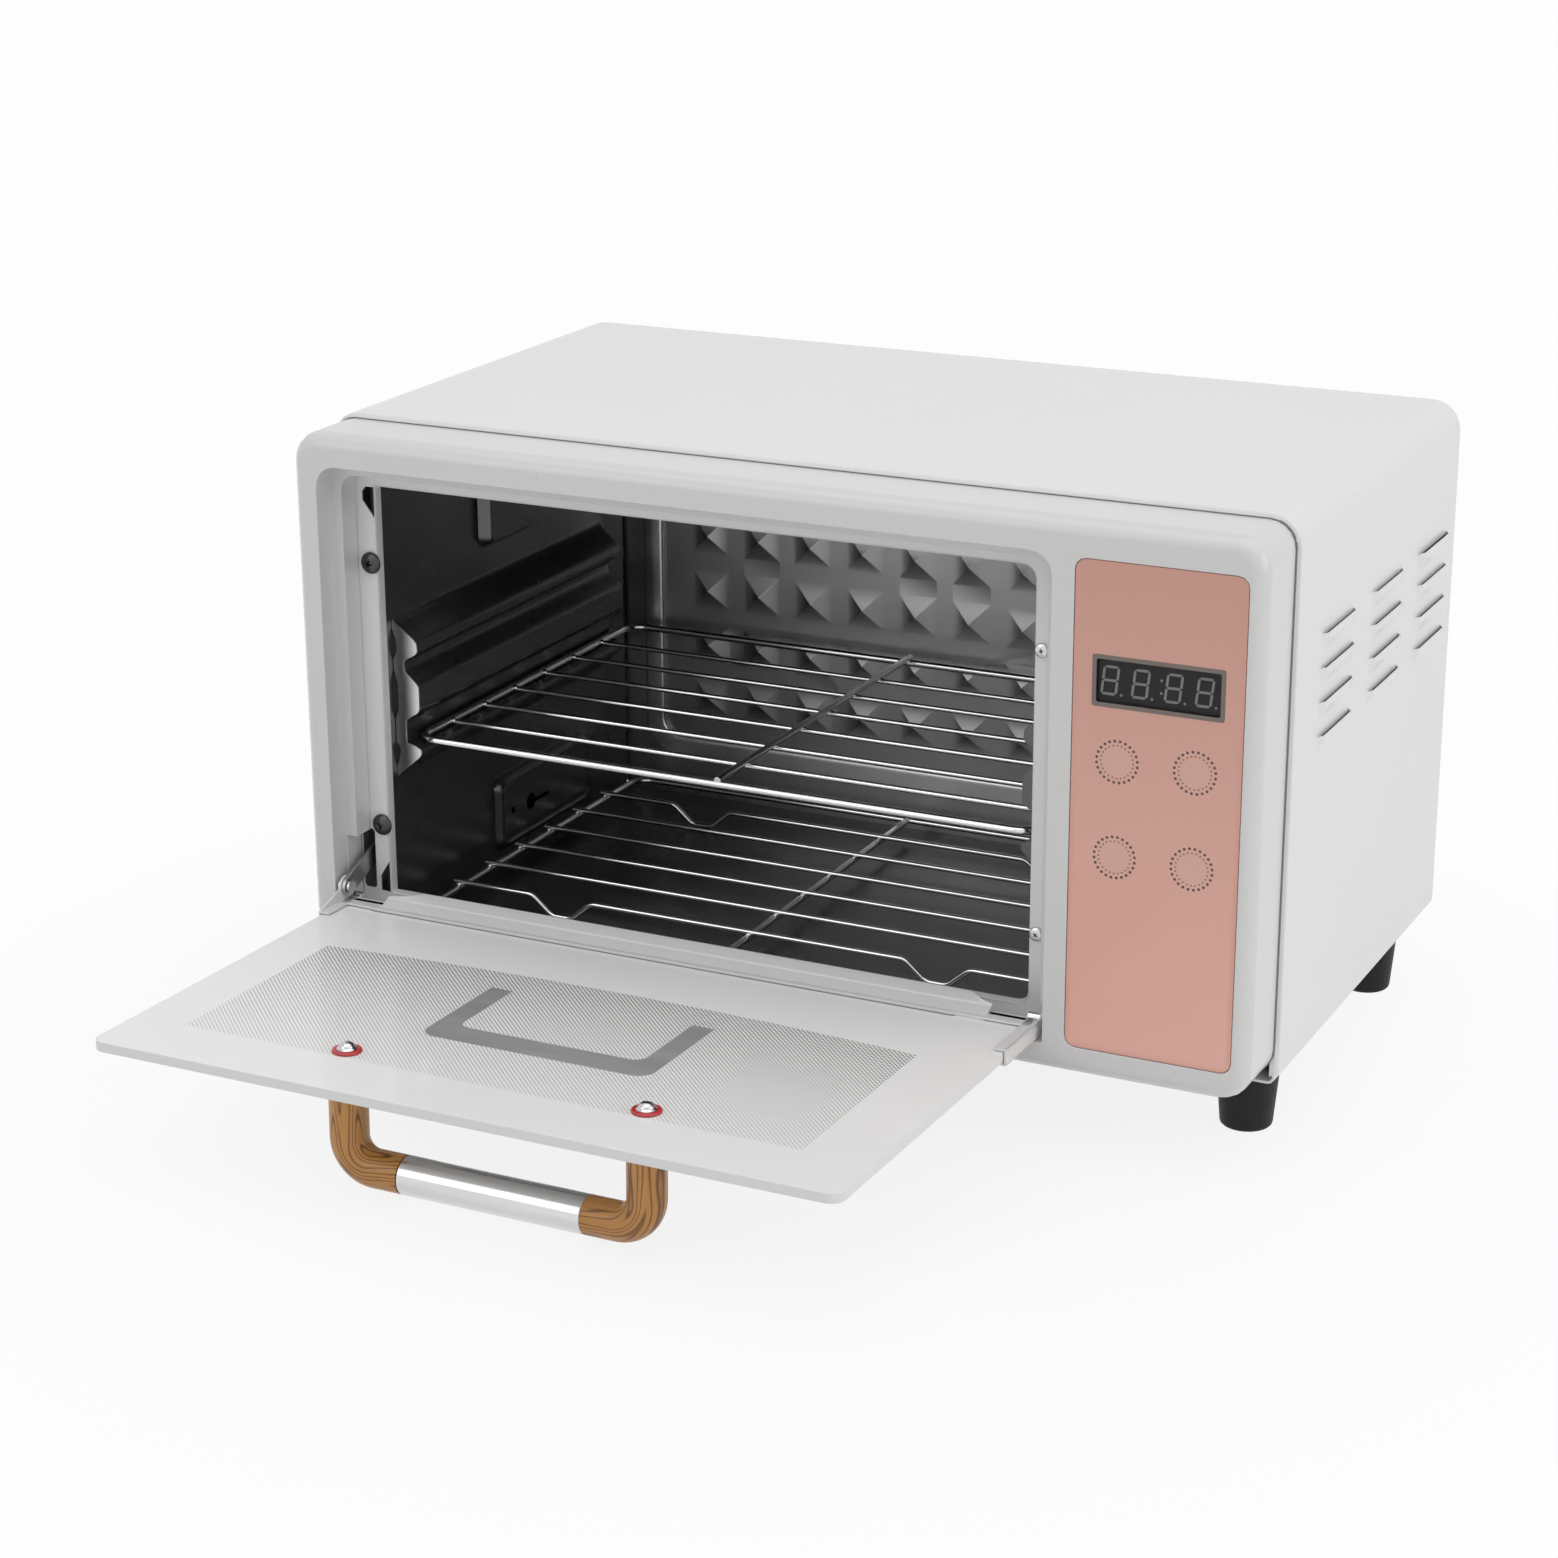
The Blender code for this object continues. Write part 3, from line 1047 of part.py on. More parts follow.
def hinge_rail(door, mat):
    """Pressed rail: a raised sealing strip, a clip round each lower corner of the glass and an ear."""
    inner = CLEARANCE
    leaf = inner + RAIL_SHEET
    outer = -DOOR_GLASS - CLEARANCE
    wrap = DOOR_HALF_WIDTH + CLEARANCE
    skin = wrap + RAIL_SHEET
    middle = wrap + RAIL_SHEET / 2
    rail = box("hinge_rail", (-middle, inner, RAIL_SHEET), (middle, leaf, STRIP_LIP), door, mat)
    profile = [(STRIP_LIP_REACH, STRIP_LIP), (STRIP_FOLD_REACH, STRIP_FOLD), (STRIP_EDGE_REACH, STRIP_EDGE)]
    strip = ribbon("seal_strip", profile, 0, STRIP_HALF_WIDTH * 2, RAIL_SHEET, door)
    strip.rotation_euler.z = math.pi / 2
    strip.location.x = STRIP_HALF_WIDTH
    fuse(rail, strip)
    for side, length in ((-1, CLIP_LENGTH_LEFT), (1, CLIP_LENGTH_RIGHT)):
        points = clip_outline(length, leaf, outer - RAIL_SHEET, side < 0)
        fuse(rail, outline(f"clip_side_{side}", points, RAIL_SHEET, door, (side * middle, 0, 0),
                           (math.pi / 2, 0, math.pi / 2)))
        leaf_x = sorted((side * (skin - CLIP_WIDTH), side * middle))
        fuse(rail, box(f"clip_outer_{side}", (leaf_x[0], outer - RAIL_SHEET, DOOR_BOTTOM),
                       (leaf_x[1], outer, length), door))
        fuse(rail, box(f"clip_inner_{side}", (leaf_x[0], inner, DOOR_BOTTOM),
                       (leaf_x[1], leaf, length), door))
    cut(rail, cylinder("ear_hole", RIVET_RADIUS + CLEARANCE, (-skin - OVERRUN, RIVET_IN, RIVET_UP),
                       (-wrap + OVERRUN, RIVET_IN, RIVET_UP), door))
    for side in (-1, 1):
        start = side * (wrap - PIN_TAIL - OVERRUN)
        end = side * (skin + OVERRUN)
        bore = cylinder(f"knuckle_bore_{side}", PIN_RADIUS + CLEARANCE, (start, 0, 0), (end, 0, 0), door)
        cut(rail, bore)
    return rail


def hinge_pins(door, mat):
    wrap = DOOR_HALF_WIDTH + CLEARANCE
    for side, name in ((-1, "hinge_pin_left"), (1, "hinge_pin_right")):
        start = side * (wrap - PIN_TAIL)
        cylinder(name, PIN_RADIUS, (start, 0, 0), (side * (wrap + PIN_REACH), 0, 0), door, mat)


def link(door, arm, mats):
    wrap = DOOR_HALF_WIDTH + CLEARANCE
    outer = -wrap + ARM_GAP
    inner = outer + ARM_SHEET
    slope = math.radians(ARM_SLOPE)
    half = ARM_WIDTH / 2
    tail = (ARM_LENGTH * math.cos(slope), ARM_LENGTH * math.sin(slope))
    quarter = 90
    points = arc((0, 0), half, ARM_SLOPE + quarter, ARM_SLOPE + quarter * 3, COARSE_SIDES)
    points += arc(tail, half, ARM_SLOPE - quarter, ARM_SLOPE + quarter, COARSE_SIDES)
    plate = outline("link_arm", points, ARM_SHEET, arm, ((outer + inner) / 2, 0, 0),
                    (math.pi / 2, 0, math.pi / 2), mats["dark_steel"])
    cut(plate, cylinder("arm_hole", RIVET_RADIUS + CLEARANCE, (outer - OVERRUN, 0, 0),
                        (inner + OVERRUN, 0, 0), arm))
    skin = wrap + RAIL_SHEET
    head = inner + CLEARANCE
    far = -skin - CLEARANCE
    rivet = cylinder("link_rivet", RIVET_RADIUS, (far - RIVET_HEAD_HEIGHT / 2, RIVET_IN, RIVET_UP),
                     (head + RIVET_HEAD_HEIGHT / 2, RIVET_IN, RIVET_UP), door, mats["zinc"], MEDIUM_SIDES)
    fuse(rivet, cylinder("rivet_head", RIVET_HEAD, (head, RIVET_IN, RIVET_UP),
                         (head + RIVET_HEAD_HEIGHT, RIVET_IN, RIVET_UP), door))
    fuse(rivet, cylinder("rivet_tail", RIVET_HEAD, (far - RIVET_HEAD_HEIGHT, RIVET_IN, RIVET_UP),
                         (far, RIVET_IN, RIVET_UP), door))


def handle_grip(name, side, door, mat):
    """A bent grip: its leg stands on the glass, and a spigot at its other end holds the sleeve."""
    level = DOOR_TOP - HANDLE_FROM_TOP
    start = -DOOR_GLASS - CLEARANCE
    axis = -DOOR_GLASS - HANDLE_STANDOFF
    leg = HANDLE_HALF_SPACING
    half_sleeve = SLEEVE_LENGTH / 2
    bend = arc((leg - HANDLE_BEND, axis + HANDLE_BEND), HANDLE_BEND, 0, -90, COARSE_SIDES)
    route = [(leg, start)] + bend + [(half_sleeve + CLEARANCE, axis)]
    points = [(side * x, y, level) for x, y in route]
    grip = wire(name, points, HANDLE_RADIUS, door, mat, False, 5)
    ends = sorted((side * (half_sleeve - SPIGOT_LENGTH), side * (half_sleeve + HANDLE_RADIUS)))
    spigot = HANDLE_RADIUS - SLEEVE_WALL - CLEARANCE
    fuse(grip, cylinder(f"spigot_{side}", spigot, (ends[0], axis, level), (ends[1], axis, level), door))
    deep = start - HANDLE_SCREW_LENGTH
    bore = cylinder(f"grip_bore_{side}", HANDLE_SCREW_RADIUS + CLEARANCE, (side * leg, deep, level),
                    (side * leg, start + OVERRUN, level), door)
    return cut(grip, bore)


def handle_fixing(word, side, door, mats):
    """A washer on the inside of the glass and the domed screw that runs through it into the grip."""
    level = DOOR_TOP - HANDLE_FROM_TOP
    x = side * HANDLE_HALF_SPACING
    top = CLEARANCE + WASHER_SHEET
    washer = cylinder(f"handle_washer_{word}", WASHER_RADIUS, (x, CLEARANCE, level), (x, top, level), door,
                      mats["red"])
    hole = cylinder(f"washer_hole_{side}", HANDLE_SCREW_RADIUS + CLEARANCE, (x, -OVERRUN, level),
                    (x, top + OVERRUN, level), door)
    cut(washer, hole)
    profile = screw_profile(HANDLE_SCREW_HEAD, HANDLE_SCREW_DOME, HIGH_DOME_SHARES, HANDLE_SCREW_RADIUS,
                            HANDLE_SCREW_LENGTH)
    turned(f"handle_screw_{word}", profile, door, (x, top + CLEARANCE, level), mats["zinc"], MEDIUM_SIDES,
           (0, 1, 0))


def handle(door, mats):
    """Two bent grips with a steel sleeve between them, screwed through the glass."""
    level = DOOR_TOP - HANDLE_FROM_TOP
    axis = -DOOR_GLASS - HANDLE_STANDOFF
    half_sleeve = SLEEVE_LENGTH / 2
    for side, word in ((-1, "left"), (1, "right")):
        handle_grip(f"handle_grip_{word}", side, door, mats["wood"])
        handle_fixing(word, side, door, mats)
    sleeve = cylinder("handle_sleeve", HANDLE_RADIUS, (-half_sleeve, axis, level),
                      (half_sleeve, axis, level), door, mats["brushed"], FINE_SIDES)
    bore = cylinder("sleeve_bore", HANDLE_RADIUS - SLEEVE_WALL, (-half_sleeve - OVERRUN, axis, level),
                    (half_sleeve + OVERRUN, axis, level), door)
    cut(sleeve, bore)


# Racks

def upper_rack(slide, mat):
    """A bent frame wire, inner wires level with it and a centre bar welded across their tops."""
    body = wire("upper_rack", rack_loop(UPPER_HALF_WIDTH), FRAME_WIRE, slide, mat, True)
    for number in range(1, RACK_WIRES + 1):
        y = number * RACK_PITCH
        ends = [(-UPPER_HALF_WIDTH, y, 0), (UPPER_HALF_WIDTH, y, 0)]
        fuse(body, wire(f"upper_wire_{number}", ends, INNER_WIRE, slide))
    return fuse(body, centre_bar("upper_bar", INNER_WIRE + CENTRE_BAR - WELD, slide))


def lower_rack(slide, mat):
    """Cross wires laid over the frame wire and over a bar. The first and the last dip to the floor."""
    level = -(INNER_WIRE + LOWER_FRAME_WIRE - WELD)
    loop = [(x, y, level) for x, y, _ in rack_loop(LOWER_HALF_WIDTH)]
    body = wire("lower_rack", loop, LOWER_FRAME_WIRE, slide, mat, True)
    drop = LOWER_RISE - CAVITY_FLOOR - CLEARANCE - INNER_WIRE
    end = LOWER_HALF_WIDTH + LOWER_FRAME_WIRE + WIRE_END
    steps = ((-DIP_TOP, 0), (-DIP_BOTTOM, -drop), (DIP_BOTTOM, -drop), (DIP_TOP, 0))
    dips = [(place + step, rise) for place in (-DIP_PLACE, DIP_PLACE) for step, rise in steps]
    for number in range(1, RACK_WIRES + 1):
        y = number * RACK_PITCH
        middle = [(x, y, rise) for x, rise in dips] if number in (1, RACK_WIRES) else []
        route = [(-end, y, 0)] + middle + [(end, y, 0)]
        fuse(body, wire(f"lower_wire_{number}", route, INNER_WIRE, slide))
    return fuse(body, centre_bar("lower_bar", -(INNER_WIRE + CENTRE_BAR - WELD), slide))


def centre_bar(name, level, slide):
    return wire(name, [(BAR_SHIFT, 0, level), (BAR_SHIFT, RACK_DEPTH, level)], CENTRE_BAR, slide)


def rack_loop(half_width):
    """The frame wire's route, a rectangle with bent corners."""
    return [(x, y, 0) for x, y in rounded_rectangle(-half_width, 0, half_width, RACK_DEPTH, RACK_CORNER, 3)]


def build():
    global parts, cutters
    clear_scene()
    parts = collection("uv_sterilizer_cabinet")
    cutters = collection("cutters")
    mats = {
        "white": material("white enamel", (0.83, 0.83, 0.82), 0.42),
        "white_plastic": material("white plastic", (0.80, 0.80, 0.79), 0.35),
        "dark_steel": material("dark polished steel", (0.16, 0.16, 0.17), 0.25, 0.9),
        "bright_steel": material("bright steel", (0.62, 0.62, 0.63), 0.2, 1.0),
        "chrome": material("chrome wire", (0.75, 0.75, 0.76), 0.12, 1.0),
        "zinc": material("zinc plate", (0.68, 0.68, 0.69), 0.25, 1.0),
        "brushed": material("brushed steel", (0.58, 0.57, 0.56), 0.32, 1.0),
        "glass": material("printed glass", (0.78, 0.78, 0.77), 0.12, 0.0, 0.8),
        "wood": material("wood grain", (0.45, 0.22, 0.08), 0.4),
        "rose": material("rose panel", (0.55, 0.30, 0.25), 0.3),
        "smoked": material("smoked lens", (0.03, 0.03, 0.03), 0.15),
        "black": material("black plastic", (0.03, 0.03, 0.03), 0.5),
        "board": material("circuit board", (0.05, 0.22, 0.10), 0.5),
        "spring": material("touch spring", (0.7, 0.6, 0.35), 0.3, 1.0),
        "lamp": material("quartz lamp", (0.75, 0.78, 0.85), 0.1, 0.0, 0.5),
        "porcelain": material("porcelain", (0.85, 0.85, 0.82), 0.3),
        "mica": material("mica heater", (0.45, 0.38, 0.28), 0.6),
        "rubber": material("black rubber", (0.02, 0.02, 0.02), 0.55),
        "red": material("red fibre washer", (0.62, 0.03, 0.03), 0.5),
        "screw_black": material("blackened screw", (0.05, 0.05, 0.05), 0.35, 0.8),
    }
    cabinet = frame("cabinet", None, (0, FRONT_Y, BASE_RISE))
    door = frame("door_hinge", cabinet, (OPENING_CENTRE, HINGE_BACK, HINGE_RISE), OPEN_TURN)
    arm = frame("arm_pivot", door, (0, RIVET_IN, RIVET_UP), -OPEN_TURN)
    upper = frame("upper_slide", cabinet, (OPENING_CENTRE, RACK_FRONT, UPPER_RISE))
    lower = frame("lower_slide", cabinet, (OPENING_CENTRE, RACK_FRONT, LOWER_RISE))
    outer_shell(cabinet, mats["white"])
    base_pan(cabinet, mats["white"])
    rear_cover(cabinet, mats["white"])
    rear_screws(cabinet, mats["zinc"])
    front_bezel(cabinet, mats["white_plastic"])
    control_panel(cabinet, mats)
    cavity_frame(cabinet, mats["white"])
    frame_screws(cabinet, mats["screw_black"])
    cavity_wall(cabinet, -1, "cavity_wall_left", mats["dark_steel"])
    cavity_wall(cabinet, 1, "cavity_wall_right", mats["dark_steel"])
    cavity_panels(cabinet, mats["dark_steel"])
    cavity_back(cabinet, mats["bright_steel"])
    lamp(cabinet, mats)
    electrical(cabinet, mats)
    door_switch(cabinet, mats["black"])
    power_inlet(cabinet, mats["black"])
    feet(cabinet, mats)
    door_glass(door, mats["glass"])
    hinge_rail(door, mats["white"])
    hinge_pins(door, mats["zinc"])
    link(door, arm, mats)
    handle(door, mats)
    upper_rack(upper, mats["chrome"])
    lower_rack(lower, mats["chrome"])
    bpy.context.view_layer.update()


build()
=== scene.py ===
# %% [markdown]
# # A UV sterilizer cabinet, dressed for its photograph
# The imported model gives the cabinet's solids, its places and its joints. This lesson keeps all of
# them and makes what a camera sees: pressed steel with soft edges, printed glass, plated wire,
# moulded plastic, brushed steel and wood-look grips. It starts by loading the solids as a frame.

# %% Load the frame
import json
import math

import bmesh
import bpy
from mathutils import Matrix, Vector


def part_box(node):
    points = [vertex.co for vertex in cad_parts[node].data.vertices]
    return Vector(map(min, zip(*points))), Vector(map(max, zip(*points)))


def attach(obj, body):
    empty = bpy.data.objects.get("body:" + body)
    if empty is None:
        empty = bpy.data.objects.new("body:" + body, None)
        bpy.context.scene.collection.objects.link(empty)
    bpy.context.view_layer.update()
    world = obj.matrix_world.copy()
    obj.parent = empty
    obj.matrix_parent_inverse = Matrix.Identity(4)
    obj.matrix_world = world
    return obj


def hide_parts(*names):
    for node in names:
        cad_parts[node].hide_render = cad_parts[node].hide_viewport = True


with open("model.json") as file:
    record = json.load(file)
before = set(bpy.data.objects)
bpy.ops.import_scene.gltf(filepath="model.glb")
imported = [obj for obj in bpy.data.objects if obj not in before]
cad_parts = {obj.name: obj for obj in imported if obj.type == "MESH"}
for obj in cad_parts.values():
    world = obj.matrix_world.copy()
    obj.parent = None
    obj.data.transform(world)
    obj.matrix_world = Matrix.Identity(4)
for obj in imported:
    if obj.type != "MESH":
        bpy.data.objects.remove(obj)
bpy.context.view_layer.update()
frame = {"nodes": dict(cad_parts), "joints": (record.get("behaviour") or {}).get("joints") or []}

# %% [markdown]
# All sizes of the real cabinet were read from its front bezel: left to right from its centre, back
# from its face and up from its lower edge. So the first measure is where that bezel stands, and a
# small function turns such a place into the world's metres. Millimetres keep the numbers readable.

# %% Places on the cabinet
MM = 0.001


def corners(node):
    """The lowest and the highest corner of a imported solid's box."""
    low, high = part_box(node)
    return Vector(low), Vector(high)


BEZEL_LOW, BEZEL_HIGH = corners("front_bezel")
FRONT = BEZEL_LOW.y
FOOT = BEZEL_LOW.z
CASE_HALF = BEZEL_HIGH.x / MM
DOOR_MIDDLE = -30.5


def at(x, y, z):
    return Vector((x * MM, FRONT + y * MM, FOOT + z * MM))


print("bezel from", tuple(round(v, 4) for v in BEZEL_LOW), "to", tuple(round(v, 4) for v in BEZEL_HIGH))

# %% [markdown]
# The door lies open, nearly level. Its pieces are easier to think of shut: across, in towards the
# cavity, and up from the hinge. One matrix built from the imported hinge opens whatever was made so.

# %% The open door's frame
hinge = next(joint for joint in frame["joints"] if joint["name"] == "door_hinge")
OPEN = math.radians(hinge["range_deg"][1])
DOOR = Matrix.Translation(Vector((DOOR_MIDDLE * MM, hinge["pos_m"][1], hinge["pos_m"][2])))
DOOR = DOOR @ Matrix.Rotation(OPEN, 4, "X")
print("door lies open by", hinge["range_deg"][1], "degrees")

# %% [markdown]
# The camera comes first, because it settles what is worth detail. It stands to the right of the
# cabinet and a little above it, with a longish lens that keeps the case's edges nearly parallel.
# The three directions were worked out from the cabinet's own straight edges.

# %% The camera
eye = bpy.data.objects.new("eye", bpy.data.cameras.new("eye"))
bpy.context.scene.collection.objects.link(eye)
eye.data.lens = 79.16
eye.data.sensor_width = 36
eye.data.clip_end = 20
right = Vector((0.8979, 0.4402, -0.0045)).normalized()
ahead = Vector((-0.4183, 0.8499, -0.3205)).normalized()
above = right.cross(ahead).normalized()
turn = Matrix((right, above, -ahead)).transposed().to_4x4()
eye.matrix_world = Matrix.Translation(at(491.9, -976.4, 457.4)) @ turn
bpy.context.scene.camera = eye
print("camera at", tuple(round(v, 4) for v in eye.location))

# %% [markdown]
# A product studio is a white sweep with broad soft lamps. One large lamp overhead lights the top
# of the case, a weak one from the left fills the front, and one from the right keeps that side
# from going grey. The world gives the rest. Area lamps are used because their edges are soft, and
# gloss then shows long calm reflections.

# %% Studio light
scene = bpy.context.scene
scene.view_settings.view_transform = "Standard"


def lamp(name, place, target, width, height, watts):
    light = bpy.data.lights.new(name, "AREA")
    light.shape = "RECTANGLE"
    light.size = width
    light.size_y = height
    light.energy = watts
    body = bpy.data.objects.new(name, light)
    scene.collection.objects.link(body)
    body.location = place
    body.rotation_euler = (Vector(target) - Vector(place)).to_track_quat("-Z", "Y").to_euler()


lamp("overhead", (0.1, -0.25, 1.5), (0, -0.05, 0.1), 1.7, 1.6, 9.3)
lamp("front_left", (-0.9, -1.5, 1.0), (0, 0, 0.1), 0.9, 1.0, 3.4)
lamp("right", (1.7, -0.1, 0.6), (0.1, 0, 0.05), 1.0, 1.2, 6.8)

# %% [markdown]
# Shader maths reads best as plain expressions. A small class wraps a socket, so that adding or
# comparing two of them places a Math node, and the formula of a pattern can be read as written.

# %% Shader maths as expressions
class Value:
    def __init__(self, nodes, socket):
        self.nodes = nodes
        self.socket = socket

    def __add__(self, other):
        return self.nodes.maths("ADD", self, other)

    def __sub__(self, other):
        return self.nodes.maths("SUBTRACT", self, other)

    def __rsub__(self, other):
        return self.nodes.maths("SUBTRACT", other, self)

    def __mul__(self, other):
        return self.nodes.maths("MULTIPLY", self, other)

    def __gt__(self, other):
        return self.nodes.maths("GREATER_THAN", self, other)

    def __lt__(self, other):
        return self.nodes.maths("LESS_THAN", self, other)

    def least(self, other):
        return self.nodes.maths("MINIMUM", self, other)

    def most(self, other):
        return self.nodes.maths("MAXIMUM", self, other)

    def size(self):
        return self.nodes.maths("ABSOLUTE", self)

    def inside(self, low, high):
        return (self > low) * (self < high)

    __radd__ = __add__
    __rmul__ = __mul__


print("shader maths ready")

# %% [markdown]
# All other nodes are added in one way: their type, their settings, and the values or links of their
# sockets, with an underscore for each space in a socket's name. The steps that most patterns need
# are methods, so that each finish below stays short. A finish is such a tree for one material.

# %% Nodes of a tree, and a finish
class Nodes:
    def __init__(self, tree):
        self.tree = tree

    def set(self, node, values):
        for name, value in values.items():
            socket = node.inputs[name.replace("_", " ")]
            if isinstance(value, Value):
                self.tree.links.new(value.socket, socket)
            elif isinstance(value, tuple) and len(value) == 3 and len(socket.default_value) == 4:
                socket.default_value = (*value, 1.0)
            else:
                socket.default_value = value

    def node(self, kind, settings=None, output=0, **values):
        made = self.tree.nodes.new("ShaderNode" + kind)
        for name, value in (settings or {}).items():
            setattr(made, name, value)
        self.set(made, values)
        return Value(self, made.outputs[output])

    def maths(self, operation, *values):
        made = self.tree.nodes.new("ShaderNodeMath")
        made.operation = operation
        for socket, value in zip(made.inputs, values):
            if isinstance(value, Value):
                self.tree.links.new(value.socket, socket)
            else:
                socket.default_value = value
        return Value(self, made.outputs[0])

    def root(self, value):
        return self.maths("SQRT", value)

    def fraction(self, value):
        return self.maths("FRACT", value)

    def ramped(self, value, start, end, low=0.0, high=1.0):
        """Goes straight from low, where the value is start, to high, where it is end."""
        return self.node("MapRange", Value=value, From_Min=start, From_Max=end, To_Min=low, To_Max=high)

    def tones(self, factor, stops):
        """A colour ramp through (place, colour) stops."""
        tone = self.node("ValToRGB", Fac=factor)
        elements = tone.socket.node.color_ramp.elements
        while len(elements) < len(stops):
            elements.new(0.5)
        for element, (place, colour) in zip(elements, stops):
            element.position = place
            element.color = (*colour, 1.0)
        return tone

    def place(self, location=(0, 0, 0), turn=(0, 0, 0), scale=(1, 1, 1)):
        """Object coordinates, seen from a place on the piece and turned with it."""
        return self.node("Mapping", {"vector_type": "TEXTURE"}, Vector=self.node("TexCoord", output="Object"),
                         Location=location, Rotation=turn, Scale=scale)

    def stretched(self, vector, scale, shift=(0, 0, 0)):
        return self.node("Mapping", {"vector_type": "POINT"}, Vector=vector, Location=shift, Scale=scale)

    def axes(self, vector):
        split = self.node("SeparateXYZ", Vector=vector)
        return [Value(self, output) for output in split.socket.node.outputs]

    def mix(self, factor, first, second):
        return self.node("MixRGB", Fac=factor, Color1=first, Color2=second)

    def noise(self, vector, scale, detail=3.0, roughness=0.5):
        return self.node("TexNoise", Vector=vector, Scale=scale, Detail=detail, Roughness=roughness)


class Finish(Nodes):
    def __init__(self, name, colour, **sockets):
        self.material = bpy.data.materials.new(name)
        self.material.use_nodes = True
        super().__init__(self.material.node_tree)
        self.shader = self.tree.nodes["Principled BSDF"]
        self.surface(Base_Color=colour, **sockets)

    def surface(self, **values):
        self.set(self.shader, values)

    def bump(self, height, strength, distance):
        self.surface(Normal=self.node("Bump", Height=height, Strength=strength, Distance=distance))
        return self


def grey(level, tint=0.0):
    return (level, level, level - tint)


print("shader tools ready")

# %% [markdown]
# The ground is a white sweep. Seen by the camera it should be nearly pure white, and so should its
# reflection in glass and metal, but the cabinet's shadow must stay. The floor is an ordinary white
# surface mixed with a plain glow, and the glow is seen only by camera, gloss and glass rays. It
# thins out near the cabinet, so that the shadow under it shows.

# %% Floor and world
BACKDROP = 0.985
WORLD_LIGHT = 0.42


def rays_seen(nodes):
    """One for rays from the camera, off gloss and through glass, nought for the rest."""
    seen = [nodes.node("LightPath", output=f"Is {kind} Ray") for kind in ("Camera", "Glossy", "Transmission")]
    return (seen[0] + seen[1] + seen[2]).least(1.0)


ground = Finish("studio_floor", grey(0.93), Roughness=0.9)
across, deep, _ = ground.axes(ground.place())
glow = ground.ramped(ground.root(across * across + deep * deep), 0.14, 0.36, 0.86, 1.0)
sheen = ground.node("Emission", Color=grey(1.0), Strength=BACKDROP)
blend = ground.node("MixShader", Fac=rays_seen(ground) * glow)
for number, shader in ((1, ground.shader.outputs[0]), (2, sheen.socket)):
    ground.tree.links.new(shader, blend.socket.node.inputs[number])
ground.tree.links.new(blend.socket, ground.tree.nodes["Material Output"].inputs["Surface"])

scene.world = bpy.data.worlds.new("studio")
scene.world.use_nodes = True
sky = Nodes(scene.world.node_tree)
sky.set(sky.tree.nodes["Background"], {
    "Color": grey(1.0), "Strength": rays_seen(sky) * (BACKDROP - WORLD_LIGHT) + WORLD_LIGHT})

sweep = bmesh.new()
bmesh.ops.create_grid(sweep, x_segments=1, y_segments=1, size=6)
floor_mesh = bpy.data.meshes.new("floor")
sweep.to_mesh(floor_mesh)
sweep.free()
floor = bpy.data.objects.new("floor", floor_mesh)
scene.collection.objects.link(floor)
floor_mesh.materials.append(ground.material)
print("floor laid")

# %% [markdown]
# White is two different things here. The case is sheet steel under baked enamel, which dries with a
# faint orange peel and a satin gloss. The bezel is moulded plastic, smoother, glossier and a touch
# greyer. Both get a very fine bump, a slow change in roughness and the thinnest veil of dust, since
# a wide white surface with none of these looks drawn and not photographed.

# %% White enamel and white plastic
def white(name, level, roughness, peel, peel_size):
    finish = Finish(name, grey(level), Coat_Weight=0.25, Coat_Roughness=0.12)
    here = finish.place()
    cloud = finish.noise(here, 9.0, 2.0)
    finish.surface(Base_Color=finish.mix(cloud, grey(level - 0.012, 0.005), grey(level + 0.01, 0.003)),
                   Roughness=roughness + 0.10 * finish.noise(here, 35.0, 3.0))
    return finish.bump(finish.noise(here, peel_size, 2.0), peel, 0.0002)


enamel = white("white_enamel", 0.80, 0.32, 0.08, 900.0)
plastic = white("white_plastic", 0.70, 0.24, 0.03, 2200.0)
rail_enamel = white("rail_enamel", 0.79, 0.27, 0.06, 1200.0)
print("white finishes: 3")

# %% [markdown]
# The cavity's sides, floor and ceiling are coated dark and reflect like still water at dusk, while
# its back is bare bright sheet, dulled where the press stretched it. Rolled sheet has a grain, so
# the noise that breaks the reflection is stretched along the direction in which it was rolled.

# %% Sheets inside the cavity
def rolled(name, dark, pale, metallic, low, high, stretch, strength):
    finish = Finish(name, grey(dark), Metallic=metallic)
    grain = finish.noise(finish.place(scale=stretch), 60.0, 5.0, 0.6)
    cloud = finish.noise(finish.place(), 22.0, 4.0, 0.55)
    finish.surface(Base_Color=finish.mix(cloud * 0.7 + grain * 0.3, grey(dark), grey(pale)),
                   Roughness=low + (high - low) * finish.noise(finish.place(), 14.0, 3.0))
    return finish.bump(grain, strength, 0.0002)


dark_sheet = rolled("dark_coated_sheet", 0.10, 0.15, 0.85, 0.22, 0.34, (1, 6, 1), 0.05)
bright_sheet = rolled("bright_pressed_sheet", 0.34, 0.50, 1.0, 0.30, 0.46, (5, 1, 1), 0.12)
# A paler copy of the bare sheet: painted sheen where light catches the left rib ends and the back border.
painted_sheen_sheet = rolled("worn_fold", 0.62, 0.90, 1.0, 0.24, 0.42, (3, 1, 1), 0.10)
arm_steel = rolled("arm_steel", 0.42, 0.55, 1.0, 0.30, 0.45, (1, 4, 1), 0.08)
heater_mica = rolled("heater_mica", 0.42, 0.62, 0.0, 0.45, 0.70, (1, 1, 1), 0.20)
print("sheet finishes: 5")

